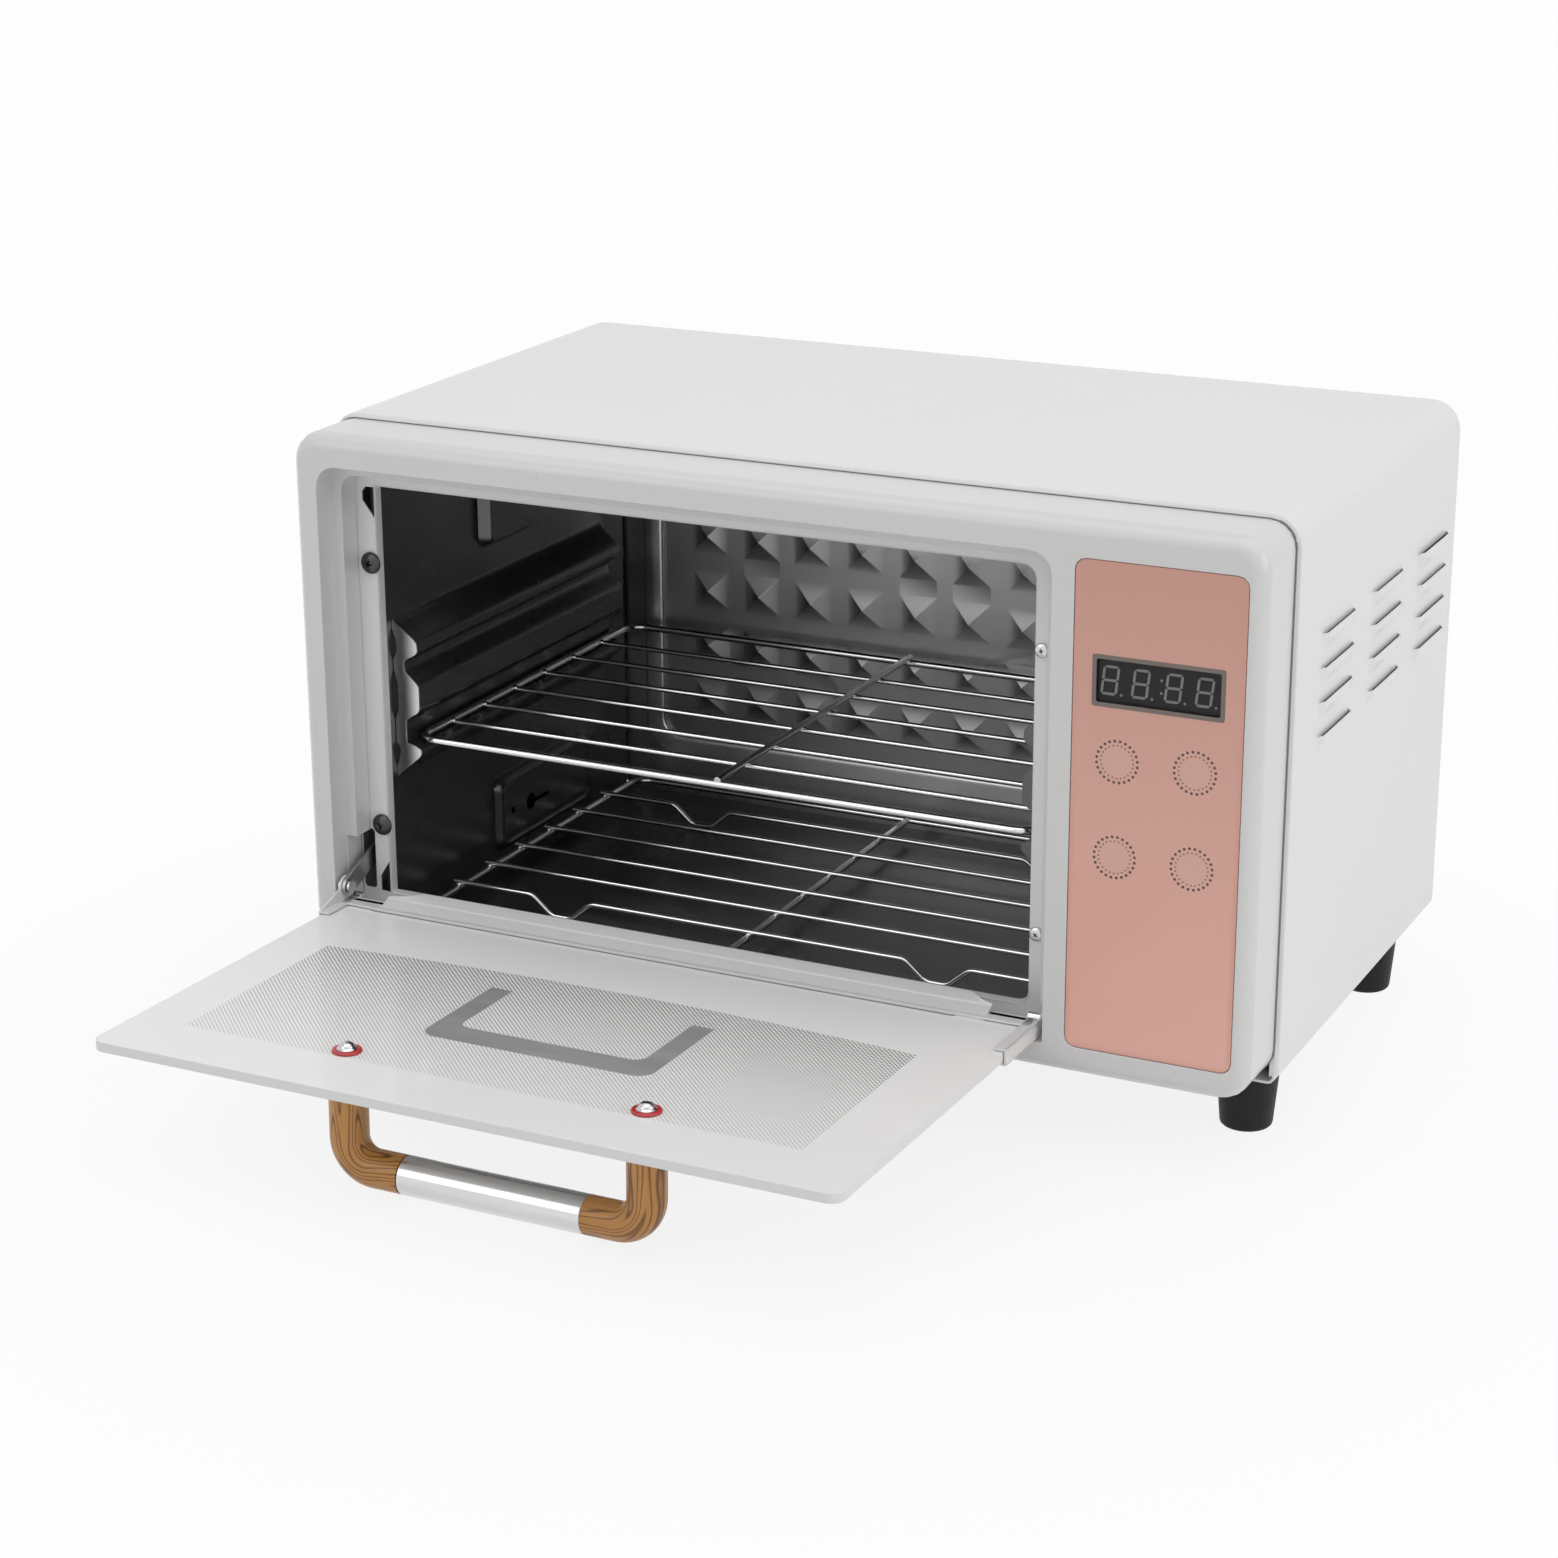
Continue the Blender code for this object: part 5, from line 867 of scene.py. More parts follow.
LIP_STEPS = ((0.45, 0.16), (0.45, 0.06), (2.7, 0.0))
HALF_MOUTH = (126, 77)
lip = bmesh.new()
left_corners = [(edge_x, high_z), (edge_x, low_z)]
ring = [lip.verts.new((x, z, 0)) for x, z in top_corner + left_corners + low_corner]
loop = [lip.edges.new((ring[i], ring[(i + 1) % len(ring)])) for i in range(len(ring))]
for depth, inset in LIP_STEPS:
    grown = bmesh.ops.extrude_edge_only(lip, edges=loop)["geom"]
    moved = [item for item in grown if isinstance(item, bmesh.types.BMVert)]
    bmesh.ops.translate(lip, vec=(0, 0, -depth), verts=moved)
    bmesh.ops.scale(lip, vec=(1 - inset / HALF_MOUTH[0], 1 - inset / HALF_MOUTH[1], 1), verts=moved,
                    space=Matrix.Translation((-DOOR_MIDDLE, -(low_z + high_z) / 2, 0)))
    loop = [item for item in grown if isinstance(item, bmesh.types.BMEdge)
            and all(vert in moved for vert in item.verts)]
bmesh.ops.recalc_face_normals(lip, faces=lip.faces)
bmesh.ops.solidify(lip, geom=lip.faces, thickness=0.5)
finished(lip, "mouth_lip", enamel, place=upright(18.4), angle=60.0)
print("frame with two reliefs and a lip", sum(depth for depth, _ in LIP_STEPS), "mm deep")

# %% [markdown]
# Wires and bent tubes follow a route. A helper bends the corners of a route into arcs, and another
# extrudes one circle from station to station and turns it as it goes. Each point also keeps, in an
# attribute, where it would lie if the tube were straightened: a pattern drawn on that follows the
# tube round its bends without a seam.

# %% Routes and tubes
def bend(points, radius, steps=6, closed=False):
    points = [Vector(point) for point in points]
    route = []
    for index, corner in enumerate(points):
        if not closed and index in (0, len(points) - 1):
            route.append(corner)
            continue
        before = points[index - 1] - corner
        after = points[(index + 1) % len(points)] - corner
        half = before.angle(after) / 2
        reach = min(radius / math.tan(half), before.length * 0.48, after.length * 0.48)
        sagitta = reach / math.cos(half)
        centre = corner + (before.normalized() + after.normalized()).normalized() * sagitta
        arm = corner + before.normalized() * reach - centre
        last = corner + after.normalized() * reach - centre
        axis = arm.cross(last).normalized()
        for step in range(steps + 1):
            route.append(centre + Matrix.Rotation(arm.angle(last) * step / steps, 3, axis) @ arm)
    return route


def stations(route, closed):
    """A turned frame at every point of a route, each turned no more than it must from the last."""
    count = len(route)
    frames = []
    normal = None
    for index, point in enumerate(route):
        following = route[(index + 1) % count] if closed else route[min(index + 1, count - 1)]
        previous = route[index - 1] if closed or index else route[0]
        ahead = (following - previous).normalized()
        if normal is None:
            normal = ahead.orthogonal().normalized()
        normal = (normal - ahead * normal.dot(ahead)).normalized()
        side = ahead.cross(normal)
        frames.append(Matrix.Translation(point) @ Matrix((normal, side, ahead)).transposed().to_4x4())
    return frames


def tube(bm, route, radius, sides=12, closed=False):
    grain = bm.verts.layers.float_vector.get("grain") or bm.verts.layers.float_vector.new("grain")
    frames = stations(route, closed)
    ring = bmesh.ops.create_circle(bm, cap_ends=False, radius=radius, segments=sides)["verts"]
    for vert in ring:
        vert[grain] = (0.0, vert.co.x, vert.co.y)
    bmesh.ops.transform(bm, matrix=frames[0], verts=ring)
    first = loop = list({edge for vert in ring for edge in vert.link_edges})
    length = 0.0
    for index in range(1, len(frames)):
        length += (route[index] - route[index - 1]).length
        grown = bmesh.ops.extrude_edge_only(bm, edges=loop)["geom"]
        moved = [item for item in grown if isinstance(item, bmesh.types.BMVert)]
        known = set(moved)
        loop = [item for item in grown
                if isinstance(item, bmesh.types.BMEdge) and known.issuperset(item.verts)]
        bmesh.ops.transform(bm, matrix=frames[index] @ frames[index - 1].inverted(), verts=moved)
        for vert in moved:
            local = frames[index].inverted() @ vert.co
            vert[grain] = (length, local.x, local.y)
    if closed:
        bmesh.ops.bridge_loops(bm, edges=first + loop)
    else:
        bmesh.ops.holes_fill(bm, edges=first + loop, sides=0)
    return bm


def bead(bm, place, radius, squash=(1, 1, 1)):
    """A small weld bead."""
    made = bmesh.ops.create_icosphere(bm, subdivisions=2, radius=radius)["verts"]
    bmesh.ops.scale(bm, vec=squash, verts=made)
    bmesh.ops.translate(bm, vec=place, verts=made)


print("tube helper ready")

# %% [markdown]
# The upper rack is a bent frame wire with six thinner wires butted between its sides and a bar
# welded across their tops. Where wires meet, the welder leaves a small bead. The bar's ends lie
# over the frame wire and show as bright round faces.

# %% Upper rack
RACK = {"front": 33.0, "back": 196.5, "pitch": 22.7, "wires": 6}
BAR_X = DOOR_MIDDLE + 2.0
UPPER = {"level": 71.4, "half": 121.4}


def frame_route(half, z):
    ends = ((-half, "front"), (half, "front"), (half, "back"), (-half, "back"))
    return bend([at(DOOR_MIDDLE + x, RACK[end], z) for x, end in ends], 8 * MM, 8, True)


def wire_places():
    return [RACK["front"] + number * RACK["pitch"] for number in range(1, RACK["wires"] + 1)]


upper = bmesh.new()
tube(upper, frame_route(UPPER["half"], UPPER["level"]), 1.5 * MM, 16, True)
for y in wire_places():
    tube(upper, [at(DOOR_MIDDLE + side * 121.2, y, UPPER["level"]) for side in (-1, 1)], 1.0 * MM)
    for side in (-1, 1):
        bead(upper, at(DOOR_MIDDLE + side * 119.8, y, 71.7), 1.2 * MM, (1.2, 1.0, 0.9))
    bead(upper, at(BAR_X, y, 72.4), 1.2 * MM, (1.3, 1.1, 0.8))
bar = ((RACK["front"] - 0.9, 73.0), (RACK["front"] + 5, 73.3),
       (RACK["back"] - 5, 73.3), (RACK["back"] + 1.2, 73.0))
tube(upper, [at(BAR_X, y, z) for y, z in bar], 1.3 * MM, 14)
finished(upper, "upper_wire_rack", chrome, "upper_rack", ("upper_rack",), 50.0)
print("upper rack:", RACK["wires"], "wires in a frame")

# %% [markdown]
# The lower rack has its six cross wires laid over the frame, with their ends standing a little
# past it. The first and the last of them dip twice to the cavity's floor as feet. Each dip is bent
# in soft curves, so its route gets arcs at all four of its corners.

# %% Lower rack
LOWER = {"level": 6.1, "half": 119.5, "wire_level": 8.0, "wire_half": 121.6}
DIPS = [(place + step, level) for place in (-76.0, 76.0)
        for step, level in ((-12.5, 8.0), (-4.2, 0.85), (4.2, 0.85), (12.5, 8.0))]

lower = bmesh.new()
tube(lower, frame_route(LOWER["half"], LOWER["level"]), 1.25 * MM, 16, True)
for y in wire_places():
    ends = [(side * LOWER["wire_half"], LOWER["wire_level"]) for side in (-1, 1)]
    dips = DIPS if y in (wire_places()[0], wire_places()[-1]) else []
    route = [at(DOOR_MIDDLE + x, y, z) for x, z in [ends[0], *dips, ends[1]]]
    tube(lower, bend(route, 5.5 * MM, 6), 1.0 * MM)
    for side in (-1, 1):
        bead(lower, at(DOOR_MIDDLE + side * LOWER["half"], y - 0.9, 7.2), 1.1 * MM, (1.1, 1.0, 0.9))
    bead(lower, at(BAR_X, y - 0.4, 7.0), 1.1 * MM, (1.2, 1.0, 0.8))
tube(lower, [at(BAR_X, y, LOWER["level"]) for y in (RACK["front"], RACK["back"] + 0.6)], 1.3 * MM, 14)
finished(lower, "lower_wire_rack", chrome, "lower_rack", ("lower_rack",), 50.0)
print("lower rack: dips", len(DIPS) // 4 * 2)

# %% [markdown]
# The handle's grips are bent tubes of one thickness with the sleeve between. Each grip starts in
# the glass, comes straight out of it and turns by a right angle towards the other. The sleeve's
# ends are drawn in a little, as a cut and deburred tube has them.

# %% Handle grips and sleeve
HANDLE = {"half": 55.0, "out": -39.2, "level": 128.3, "root": -3.8, "grip_end": 34.05, "sleeve_end": 33.75}


def on_handle(x, out=HANDLE["out"]):
    return Vector((x, out, HANDLE["level"])) * MM


for side, word in ((-1, "left"), (1, "right")):
    grip = bmesh.new()
    route = [on_handle(side * HANDLE["half"], HANDLE["root"]), on_handle(side * HANDLE["half"]),
             on_handle(side * HANDLE["grip_end"])]
    tube(grip, bend(route, 18 * MM, 22), 6.55 * MM, 40)
    on_door(grip, "grip_" + word, wood[word], ("handle_grip_" + word,))
sleeve = bmesh.new()
end = HANDLE["sleeve_end"]
tube(sleeve, [on_handle(x) for x in (-end, 0.45 - end, end - 0.45, end)], 6.6 * MM, 48)
ends = [vert for vert in sleeve.verts if abs(vert.co.x) > (end - 0.15) * MM]
bmesh.ops.scale(sleeve, vec=(1, 0.955, 0.955), verts=ends, space=Matrix.Translation(-on_handle(0)))
on_door(sleeve, "brushed_sleeve", brushed, ("handle_sleeve",))
print("handle: two grips and a sleeve")

# %% [markdown]
# The cavity's two side walls are one pressing each: ribs that carry the racks, a square field that
# was pressed out round a hole for a fixing, and a block high up. A press makes soft shapes, so the
# wall is drawn as a fine net of points whose distance from the flat sheet is worked out from a few
# distances. The ribs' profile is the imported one, rounded by averaging it over a short stretch.

# %% Pressed side walls
WALL = 128.2
RIBS = {"front": 29.9, "back": 187.0, "low": 57.0, "tall": 59.0, "reach": 10.6}
RIB_SHARES = ((1.0, 0.0), (0.881, 0.943), (0.805, 0.972), (0.754, 0.415), (0.686, 0.415), (0.602, 0.972),
              (0.432, 0.972), (0.373, 0.415), (0.248, 0.415), (0.21, 0.566), (0.207, 0.972), (0.153, 1.0),
              (0.0, 0.0))
SHELF = {"low": 69.6, "high": 74.0, "reach": 4.5}
BLOCK = (93.0, 129.0, 133.0, 162.0, 3.0)
FIELD = (97.0, 5.5, 168.0, 34.0, 5.0)
BLOCK_REACH = 4.0
FIELD_REACH = 2.4
SOFT = 2.2


def rib_share(z):
    share = (z - RIBS["low"]) / RIBS["tall"]
    for (high, start), (low, end) in zip(RIB_SHARES, RIB_SHARES[1:]):
        if low <= share <= high:
            return start + (end - start) * (high - share) / max(high - low, 1e-6)
    return 0.0


def soft_rib(z):
    """The rounded profile; where the rack's side wire slides on its shelf it stays clear of it."""
    soft = sum(rib_share(z + shift) for shift in (-1.1, -0.7, -0.3, 0.0, 0.3, 0.7, 1.1)) / 7 * RIBS["reach"]
    return min(soft, SHELF["reach"]) if SHELF["low"] < z < SHELF["high"] else soft


def outside_of(y, z, left, low, right_end, high, radius):
    """How far a place lies outside a rounded box; less than nought inside it."""
    dy = abs(y - (left + right_end) / 2) - (right_end - left) / 2 + radius
    dz = abs(z - (low + high) / 2) - (high - low) / 2 + radius
    return math.hypot(max(dy, 0), max(dz, 0)) + min(max(dy, dz), 0) - radius


def wall_reach(y, z):
    ribs = soft_rib(z) * smooth_step((RIBS["back"] - y) / 4.0) if y > RIBS["front"] else 0.0
    block = BLOCK_REACH * smooth_step(0.5 - outside_of(y, z, *BLOCK) / SOFT)
    field = FIELD_REACH * smooth_step(0.5 - outside_of(y, z, *FIELD) / SOFT)
    field_edge = 0.5 * smooth_step(1.0 - abs(outside_of(y, z, *FIELD) + 2.0) / 1.2)
    return ribs + block + field + field_edge


rows = ([19.5 + 1.9 * step for step in range(6)] + [29.6, 29.95, 30.3]
        + [31.5 + 1.25 * step for step in range(138)])
levels = [0.4 + 0.8 * step for step in range(213)]
for side, word in ((-1, "left"), (1, "right")):
    wall = net([[at(DOOR_MIDDLE + side * (WALL - wall_reach(y, z)), y, z) for z in levels] for y in rows])
    finished(wall, "wall_pressing_" + word, dark_sheet,
             stands_for=("cavity_wall_" + word,), angle=40.0)
print("wall points:", len(rows) * len(levels))

# %% [markdown]
# The ribs' front ends stay open: the sheet was slit there before it was pressed, and its cut end
# folds round as a narrow wavy plate. On the left wall the plate is given a much paler sheet, a
# painted reflection of the light from the door opening, while on the right it keeps the dark
# sheet of the wall. The plate follows the ribs' profile on one side and is drawn as an outline
# with a soft edge.

# %% Rib ends
def rib_end(side):
    levels = [RIBS["low"] + RIBS["tall"] * step / 90 for step in range(91)]
    foot = DOOR_MIDDLE + side * (WALL - 0.1)
    outer_edge = [(foot - side * soft_rib(z), z) for z in levels]
    inner_edge = [(foot - side * max(0.0, soft_rib(z) * 0.25 - 1.0), z) for z in reversed(levels)]
    return plate([outer_edge + inner_edge[1:-1]], 0.7, 0.1)


# The left rib ends get the paler sheet as a painted reflection; the right ones keep the wall's sheet.
finished(rib_end(-1), "rib_end_left", painted_sheen_sheet, place=upright(29.6))
finished(rib_end(1), "rib_end_right", dark_sheet, place=upright(29.6))
print("rib ends: 2")

# %% [markdown]
# The square field on the wall has a round hole with a slot beside it and one small hole. Behind
# them it is dark. Thin black discs a hair in front of the sheet look the same as openings and keep
# the net of the wall simple.

# %% Holes of the wall
HOLES = ((120.4, 19.1, 3.2, 3.2, 3.15), (128.1, 18.6, 5.6, 0.7, 0.68), (106.5, 19.7, 1.2, 1.2, 1.18))
for side, word in ((-1, "left"), (1, "right")):
    discs = joined([(plate([about(*hole)], 0.12, 0.03), Matrix.Identity(4)) for hole in HOLES])
    place = Matrix.Translation(at(DOOR_MIDDLE + side * (WALL - FIELD_REACH - 0.08), 0, 0)) @ sideways(0)
    finished(discs, "wall_holes_" + word, painted_hollow_shade, place=place)
print("holes drawn on both walls")

# %% [markdown]
# The back sheet keeps its packed pyramids, whose edges are rounded a little, and gets the pressed
# border that runs round them: a raised band with a soft edge. The band is given the paler sheet, a
# painted sheen that keeps it lighter than the back. Where it meets the light it shows as two bright
# lines.

# %% Back of the cavity
back = copy_of("cavity_back")
tips = corners("cavity_back")[1].y - 1.3 * MM
softened = round_off(back, 0.22, 1, lambda edge: any(vert.co.y < tips for vert in edge.verts), 12)
finished(back, "back_pressing", bright_sheet, stands_for=("cavity_back",), angle=9.0)
border = plate([rounded(-149.0, 16.5, 88.0, 170.6, 13.0, 10), rounded(-140.6, 25.0, 79.6, 167.4, 6.5, 10)],
               2.8, 1.1)
finished(border, "back_border", painted_sheen_sheet, place=upright(204.3), angle=60.0)
print("pyramid edges softened:", softened)

# %% [markdown]
# Between bezel and shell the sheet steps inwards and runs on behind the moulding. That step is a
# ring of its own here, which also closes the lower corners. In front of it a narrow dark grey ring
# lies at the bottom of the groove, a painted shadow for the dark line that one sees all round the
# real case.

# %% Step behind the bezel
CASE_TALL = 191.2
CASE_CORNER = 10.5


def case_outline(inset):
    return rounded(inset - CASE_HALF, inset, CASE_HALF - inset, CASE_TALL - inset, CASE_CORNER - inset, 12)


for name, finish, inset, wide, front, back in (("seam_line", seam_painted_shade, 1.25, 1.5, 28.1, 29.35),
                                               ("case_step", enamel, 1.3, 1.5, 29.4, 37.0)):
    ring = plate([case_outline(inset), case_outline(inset + wide)], back - front, 0.05)
    finished(ring, name, finish, place=upright((front + back) / 2))
print("step and seam drawn round the case")

# %% [markdown]
# The door glass is drawn again from its outline, since polished glass has a rounded corner and a
# fine ground edge that shines. Its print is worked out from places on the door, so it comes along
# by itself. The two holes take the handle's screws.

# %% Door glass
pane_outline = rounded(-GLASS["half"], GLASS["low"], GLASS["half"], GLASS["high"], GLASS["corner"], 12)
holes = [about(side * HANDLE["half"], HANDLE["level"], 2.3, 2.3, 2.29) for side in (-1, 1)]
pane = plate([pane_outline] + holes, GLASS["thick"], 0.3)
on_door(pane, "glass_pane", glass, ("door_glass",), facing(-GLASS["thick"] / 2), 60.0)
print("pane", 2 * GLASS["half"], "mm wide")

# %% [markdown]
# The rail at the foot of the door is one white pressing: a leaf against the glass and a long strip
# that slopes to the cavity. A fold along the strip's middle stiffens it, and both its ends are cut
# off at a slant.

# %% Hinge rail
STRIP = {"left": -118.5, "right": 118.5, "slant_left": 13.0, "slant_right": 9.0}
RAIL_SHEET = 0.8
RAIL_FACE = 0.75


def strip_section(x):
    """The slope from the glass to the cavity, as depth and height, shorter towards the slanted ends."""
    to_end = ((STRIP["right"] - x) / STRIP["slant_right"] if x > 0
              else (x - STRIP["left"]) / STRIP["slant_left"])
    full = max(0.0, min(1.0, to_end))
    low = 3.2 - 5.0 * full
    return [(RAIL_FACE, 9.7), (0.78, 9.1), (1.0, 8.5), (2.95, 3.6), (2.75, 3.3), (3.15, 3.1), (3.5, 2.4),
            (3.5 + 1.5 * full, 2.3 + (low - 2.3) * full)]


across_left = [STRIP["left"], -116, -113, -110, -107.5, -105.5]
across_right = [108, 110, 112, 114, 116, STRIP["right"] - 0.1]
strip = net([[Vector((x, depth, up)) * MM for depth, up in strip_section(x)]
             for x in across_left + [-100 + 10 * step for step in range(21)] + across_right])
bmesh.ops.recalc_face_normals(strip, faces=strip.faces)
bmesh.ops.solidify(strip, geom=strip.faces, thickness=0.7 * MM)
leaf = plate([rounded(-134.9, 2.2, 134.9, 9.9, 0.8)], RAIL_SHEET, 0.28)
rail = joined([(leaf, facing(RAIL_FACE)), (strip, Matrix.Identity(4))])
on_door(rail, "sealing_rail", rail_enamel, ("hinge_rail",))
print("hinge rail", STRIP["right"] - STRIP["left"], "mm long")

# %% [markdown]
# At both ends of the rail a clip is folded round the glass: an outer leaf, a side and an inner
# leaf. Each is drawn as an outline, and the clips' sides are round below, where they turn on the
# hinge pins. The left one grows an ear for the link arm. Beside each clip a slot lies in the rail,
# drawn as a thin near-black plate, painted shade for the dark inside it.

# %% Clips of the rail
CLIP = {"inside": 131.7, "outside": 136.1, "side": 135.7, "out": -4.6, "back": 1.15, "low": 2.6}
EAR = (5.55, 4.5, 4.0)


def clip_side(side, tall):
    out, back = CLIP["out"], CLIP["back"]
    top = [(out, tall - 0.8), (out + 0.4, tall), (back - 0.35, tall), (back, tall - 0.4)]
    ear = arc(*EAR, 90, -30) if side < 0 else [(back, 3.4)]
    outline = top + ear + arc(0, 0, 3.4, 0, -180, 14) + [(out, 3.0)]
    return plate([outline, about(0, 0, 2.35, 2.35, 2.34)], RAIL_SHEET)


for side, tall, word in ((-1, 22.0, "left"), (1, 33.0, "right")):
    ends = sorted((side * CLIP["inside"], side * CLIP["outside"]))
    leaf = rounded(ends[0], CLIP["low"], ends[1], tall, 0.5, 3)
    clip = joined([(clip_side(side, tall), sideways(side * CLIP["side"]))]
                  + [(plate([leaf], RAIL_SHEET), facing(depth)) for depth in (-4.2, RAIL_FACE)])
    on_door(clip, "rail_clip_" + word, rail_enamel)
    on_door(plate([about(side * 125, 4.85, 6.5, 0.85, 0.7)], 0.1, 0.02), "rail_slot_" + word, painted_hollow_shade,
            place=facing(1.2))
print("clips: 2")

# %% [markdown]
# The rail's edge against the glass is a bright lip. Under it a dark grey strip on the glass is a
# painted shadow of the lip. Both are narrow plates that run along nearly the whole strip.

# %% Lip of the rail
LIP = {"left": -121.0, "right": 108.0}
lip_edge = plate([rounded(LIP["left"], 9.75, LIP["right"], 10.25, 0.24)], 0.9, 0.1)
on_door(lip_edge, "rail_lip", rail_enamel, place=facing(RAIL_FACE))
lip_shadow_plate = plate([rounded(LIP["left"], 10.1, LIP["right"], 10.55, 0.2)], 0.3, 0.05)
on_door(lip_shadow_plate, "rail_lip_seat", grey_lip, place=facing(0.2))
print("lip", LIP["right"] - LIP["left"], "mm long")

# %% [markdown]
# Screws are turned, so each is a profile spun once round an axis. A cross recess is cut into a
# screw's head with a difference, made by a modifier and kept at once as plain mesh.

# %% Turned pieces
def spun(profile, sides=36):
    """A profile of (radius, height) in millimetres, spun round Z; it starts and ends on the axis."""
    bm = bmesh.new()
    points = [bm.verts.new((radius, 0, height)) for radius, height in profile]
    lines = [bm.edges.new(pair) for pair in zip(points, points[1:])]
    bmesh.ops.spin(bm, geom=points + lines, cent=(0, 0, 0), axis=(0, 0, 1), angle=math.tau, steps=sides,
                   use_merge=True)
    bmesh.ops.remove_doubles(bm, verts=bm.verts, dist=0.0005)
    bmesh.ops.recalc_face_normals(bm, faces=bm.faces)
    return bm


def recess(bm, size, top, deep):
    """Cuts a cross of two tapering slots into the top of a turned piece."""
    cross = bmesh.new()
    for turned_by in (0, math.pi / 2):
        blade = bmesh.ops.create_cone(cross, cap_ends=True, segments=4, radius1=size * 0.275,
                                      radius2=size * 0.75, depth=deep * 2)["verts"]
        bmesh.ops.rotate(cross, verts=blade, matrix=Matrix.Rotation(math.pi / 4, 3, "Z"), cent=(0, 0, 0))
        bmesh.ops.scale(cross, vec=(1, 0.30, 1), verts=blade)
        bmesh.ops.rotate(cross, verts=blade, matrix=Matrix.Rotation(turned_by, 3, "Z"), cent=(0, 0, 0))
        bmesh.ops.translate(cross, verts=blade, vec=(0, 0, top))
    solids = []
    for part, name in ((bm, "turned"), (cross, "cross")):
        mesh = bpy.data.meshes.new(name)
        part.to_mesh(mesh)
        part.free()
        solids.append(bpy.data.objects.new(name, mesh))
        scene.collection.objects.link(solids[-1])
    taken = solids[0].modifiers.new("cut", "BOOLEAN")
    taken.operation = "DIFFERENCE"
    taken.solver = "EXACT"
    taken.object = solids[1]
    taken.use_self = True
    cut = bmesh.new()
    cut.from_object(solids[0], bpy.context.evaluated_depsgraph_get())
    for item in solids:
        bpy.data.objects.remove(item, do_unlink=True)
    return cut


def dome(radius, base, top, steps=7):
    """A low button head from its base to its top: a short straight rim, then a round crown."""
    shoulder = base + 0.15
    rim = [(radius - 0.12, base), (radius, base + 0.12), (radius, shoulder)]
    turns = [math.pi / 2 * step / steps for step in range(1, steps)]
    arch = [(radius * math.cos(turn), shoulder + (top - shoulder) * math.sin(turn)) for turn in turns]
    return [(0.0, base)] + rim + arch + [(0.0, top)]


print("turning helpers ready")

# %% [markdown]
# The cavity's frame is held by blackened screws on the left and by small low zinc ones on the
# right, and zinc screws hold the rear cover. Each stands in the place of a packed one. A matrix
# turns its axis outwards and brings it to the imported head's face, from which its base and its top
# are counted.

# %% Screws of the case
def stand(node, bm, finish, outwards, turned_by):
    low, high = corners(node)
    outer = (low + high) / 2
    outer.y = high.y if outwards > 0 else low.y
    turn = Vector((0, 0, 1)).rotation_difference(Vector((0, outwards, 0))).to_matrix().to_4x4()
    finished(bm, node + "_head", finish, "cabinet", (node,), 40.0,
             Matrix.Translation(outer) @ turn @ Matrix.Rotation(turned_by, 4, "Z") @ Matrix.Scale(MM, 4))


screws = sorted(name for name in frame["nodes"] if name.startswith(("frame_screw", "rear_screw")))
for number, name in enumerate(screws):
    low, high = corners(name)
    in_front = name.startswith("frame")
    small = in_front and low.x > DOOR_MIDDLE * MM
    base = -2.0 if in_front else -1.8
    top = -1.0 if small else 0.0
    radius = (high.x - low.x) / MM / 2 * (0.62 if small else 1.0)
    head = recess(spun(dome(radius, base, top)), radius * 0.95, top, 1.1)
    finish = black_screw if in_front and not small else zinc
    stand(name, head, finish, -1 if in_front else 1,
          0.4 + number)
print("screws cut:", len(screws))

# %% [markdown]
# The handle's screws are polished domes on a flange, with red fibre washers under them that stand
# out as a bright rim.

# %% Handle screws and washers
DOME = [(0.0, 0.0), (3.35, 0.0), (3.4, 0.25), (3.1, 0.55), (2.75, 0.7), (2.6, 1.15), (2.25, 1.65),
        (1.7, 2.05), (1.0, 2.3), (0.45, 2.36), (0.0, 2.38)]
RING = [(0.0, 0.0), (4.6, 0.0), (4.95, 0.2), (5.0, 0.5), (4.85, 0.85), (4.4, 1.0), (3.7, 1.0), (3.5, 0.9),
        (0.0, 0.9)]
for side, word in ((-1, "left"), (1, "right")):
    for profile, height, name, finish, slot_name, node in (
            (RING, 0.0, "fibre_ring_", fibre, "red_fibre", "handle_washer_"),
            (DOME, 0.9, "dome_", domes, "zinc_plate", "handle_screw_")):
        place = (Matrix.Translation(on_handle(side * HANDLE["half"], height))
                 @ Matrix.Rotation(-math.pi / 2, 4, "X") @ Matrix.Scale(MM, 4))
        on_door(spun(profile), name + word, finish, (node + word,), place)
print("handle screws: 2")

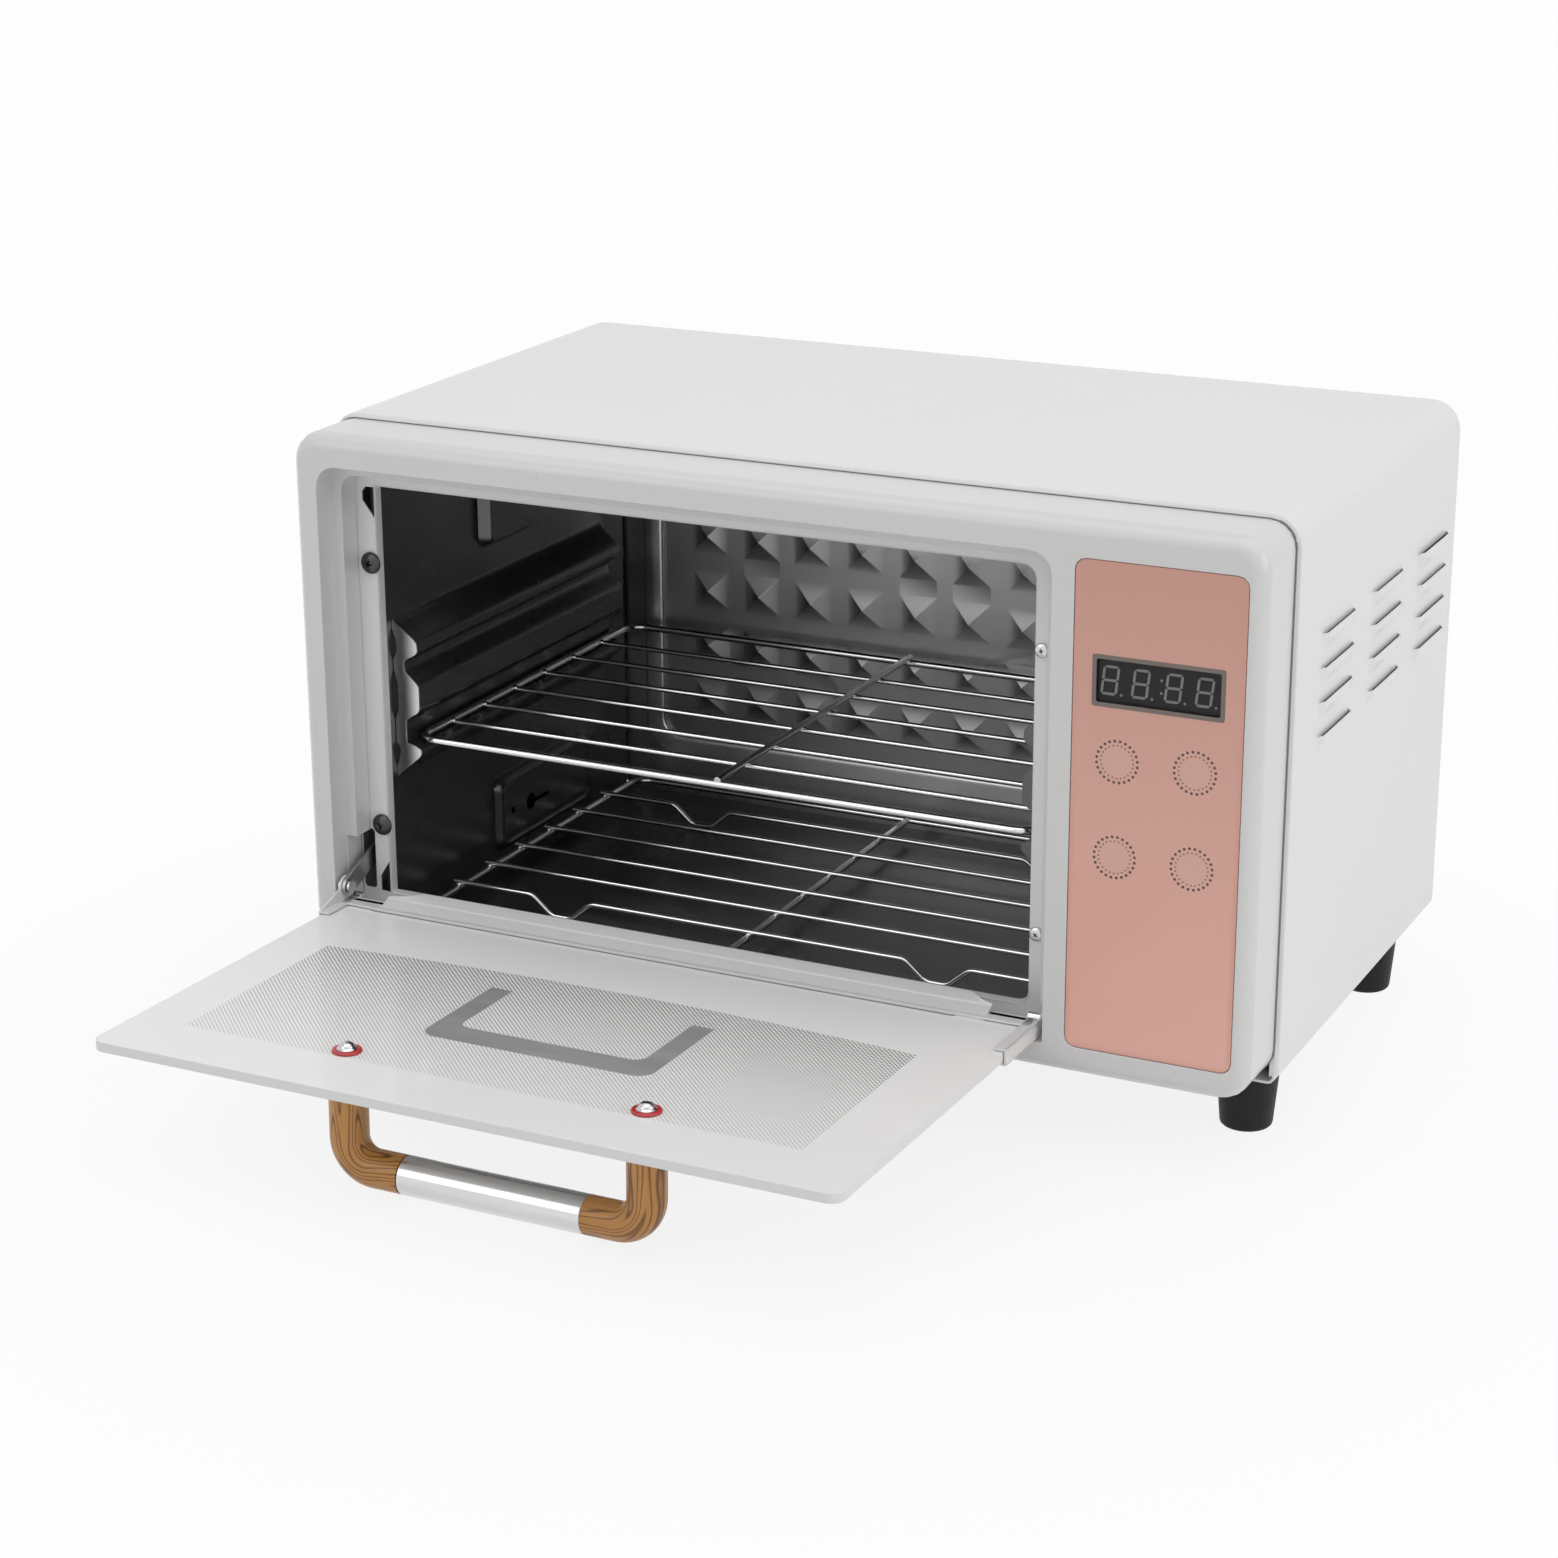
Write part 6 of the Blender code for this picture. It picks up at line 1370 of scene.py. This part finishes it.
# %% [markdown]
# The display is a small black module behind a smoked lens, in a taupe rim with round corners. Its
# four digits are unlit. Each is seven grey bars with pointed ends on a slight slant, with a point
# beside it, and a colon stands in the middle. The bars are outlines too, set just behind the lens.

# %% Display
SLANT = 0.11
DIGIT = {"wide": 4.5, "tall": 9.0, "thick": 0.85}
DIGITS_X = (-16.6, -6.3, 4.7, 15.0)


def bar_outline(x, z, length, standing):
    half, tip = length / 2, DIGIT["thick"] / 2
    shape = [(-half, 0), (-half + tip, tip), (half - tip, tip),
             (half, 0), (half - tip, -tip), (-half + tip, -tip)]
    points = [(b, a) for a, b in shape] if standing else shape
    return [(x + a + (z + b) * SLANT, z + b) for a, b in points]


def digit(x):
    wide, tall = DIGIT["wide"], DIGIT["tall"]
    bars = [bar_outline(x, level, wide, False) for level in (-tall / 2, 0, tall / 2)]
    bars += [bar_outline(x + side * (wide / 2 + 0.15), level, tall / 2 - 0.25, True)
             for side in (-1, 1) for level in (-tall / 4, tall / 4)]
    return bars + [about(x + 3.8, -4.5, 0.45, 0.45, 0.44)]


display_low, display_high = corners("display_window")
middle_x = (display_low.x + display_high.x) / 2 / MM
middle_z = ((display_low.z + display_high.z) / 2 - FOOT) / MM
half_wide = (display_high.x - display_low.x) / MM / 2
half_tall = (display_high.z - display_low.z) / MM / 2


def grown(by, radius):
    """The display's outline, made larger by so much all round."""
    return about(middle_x, middle_z, half_wide + by, half_tall + by, radius)


colon = [about(0.6, z, 0.45, 0.45, 0.44) for z in (-2.1, 2.1)]
shapes = [outline for x in DIGITS_X for outline in digit(x)] + colon
shapes = [[(middle_x + x, middle_z + z) for x, z in outline] for outline in shapes]
for bm, name, finish, depth in (
        (plate(shapes, 0.10, 0.02), "display_digits", segment, 1.72),
        (plate([grown(-0.5, 0.8)], 0.1, 0.02), "display_face", black_plastic, 1.84),
        (plate([grown(0.45, 1.3), grown(-1.0, 0.7)], 0.5, 0.15), "display_surround", surround, 0.45)):
    finished(bm, name, finish, place=upright(depth))
finished(plate([grown(0.0, 1.2)], 1.0, 0.1), "display_lens", smoked,
         stands_for=("display_window",), place=upright(1.0))
print("display digits:", len(DIGITS_X))

# %% End of the scene
print("scene built")
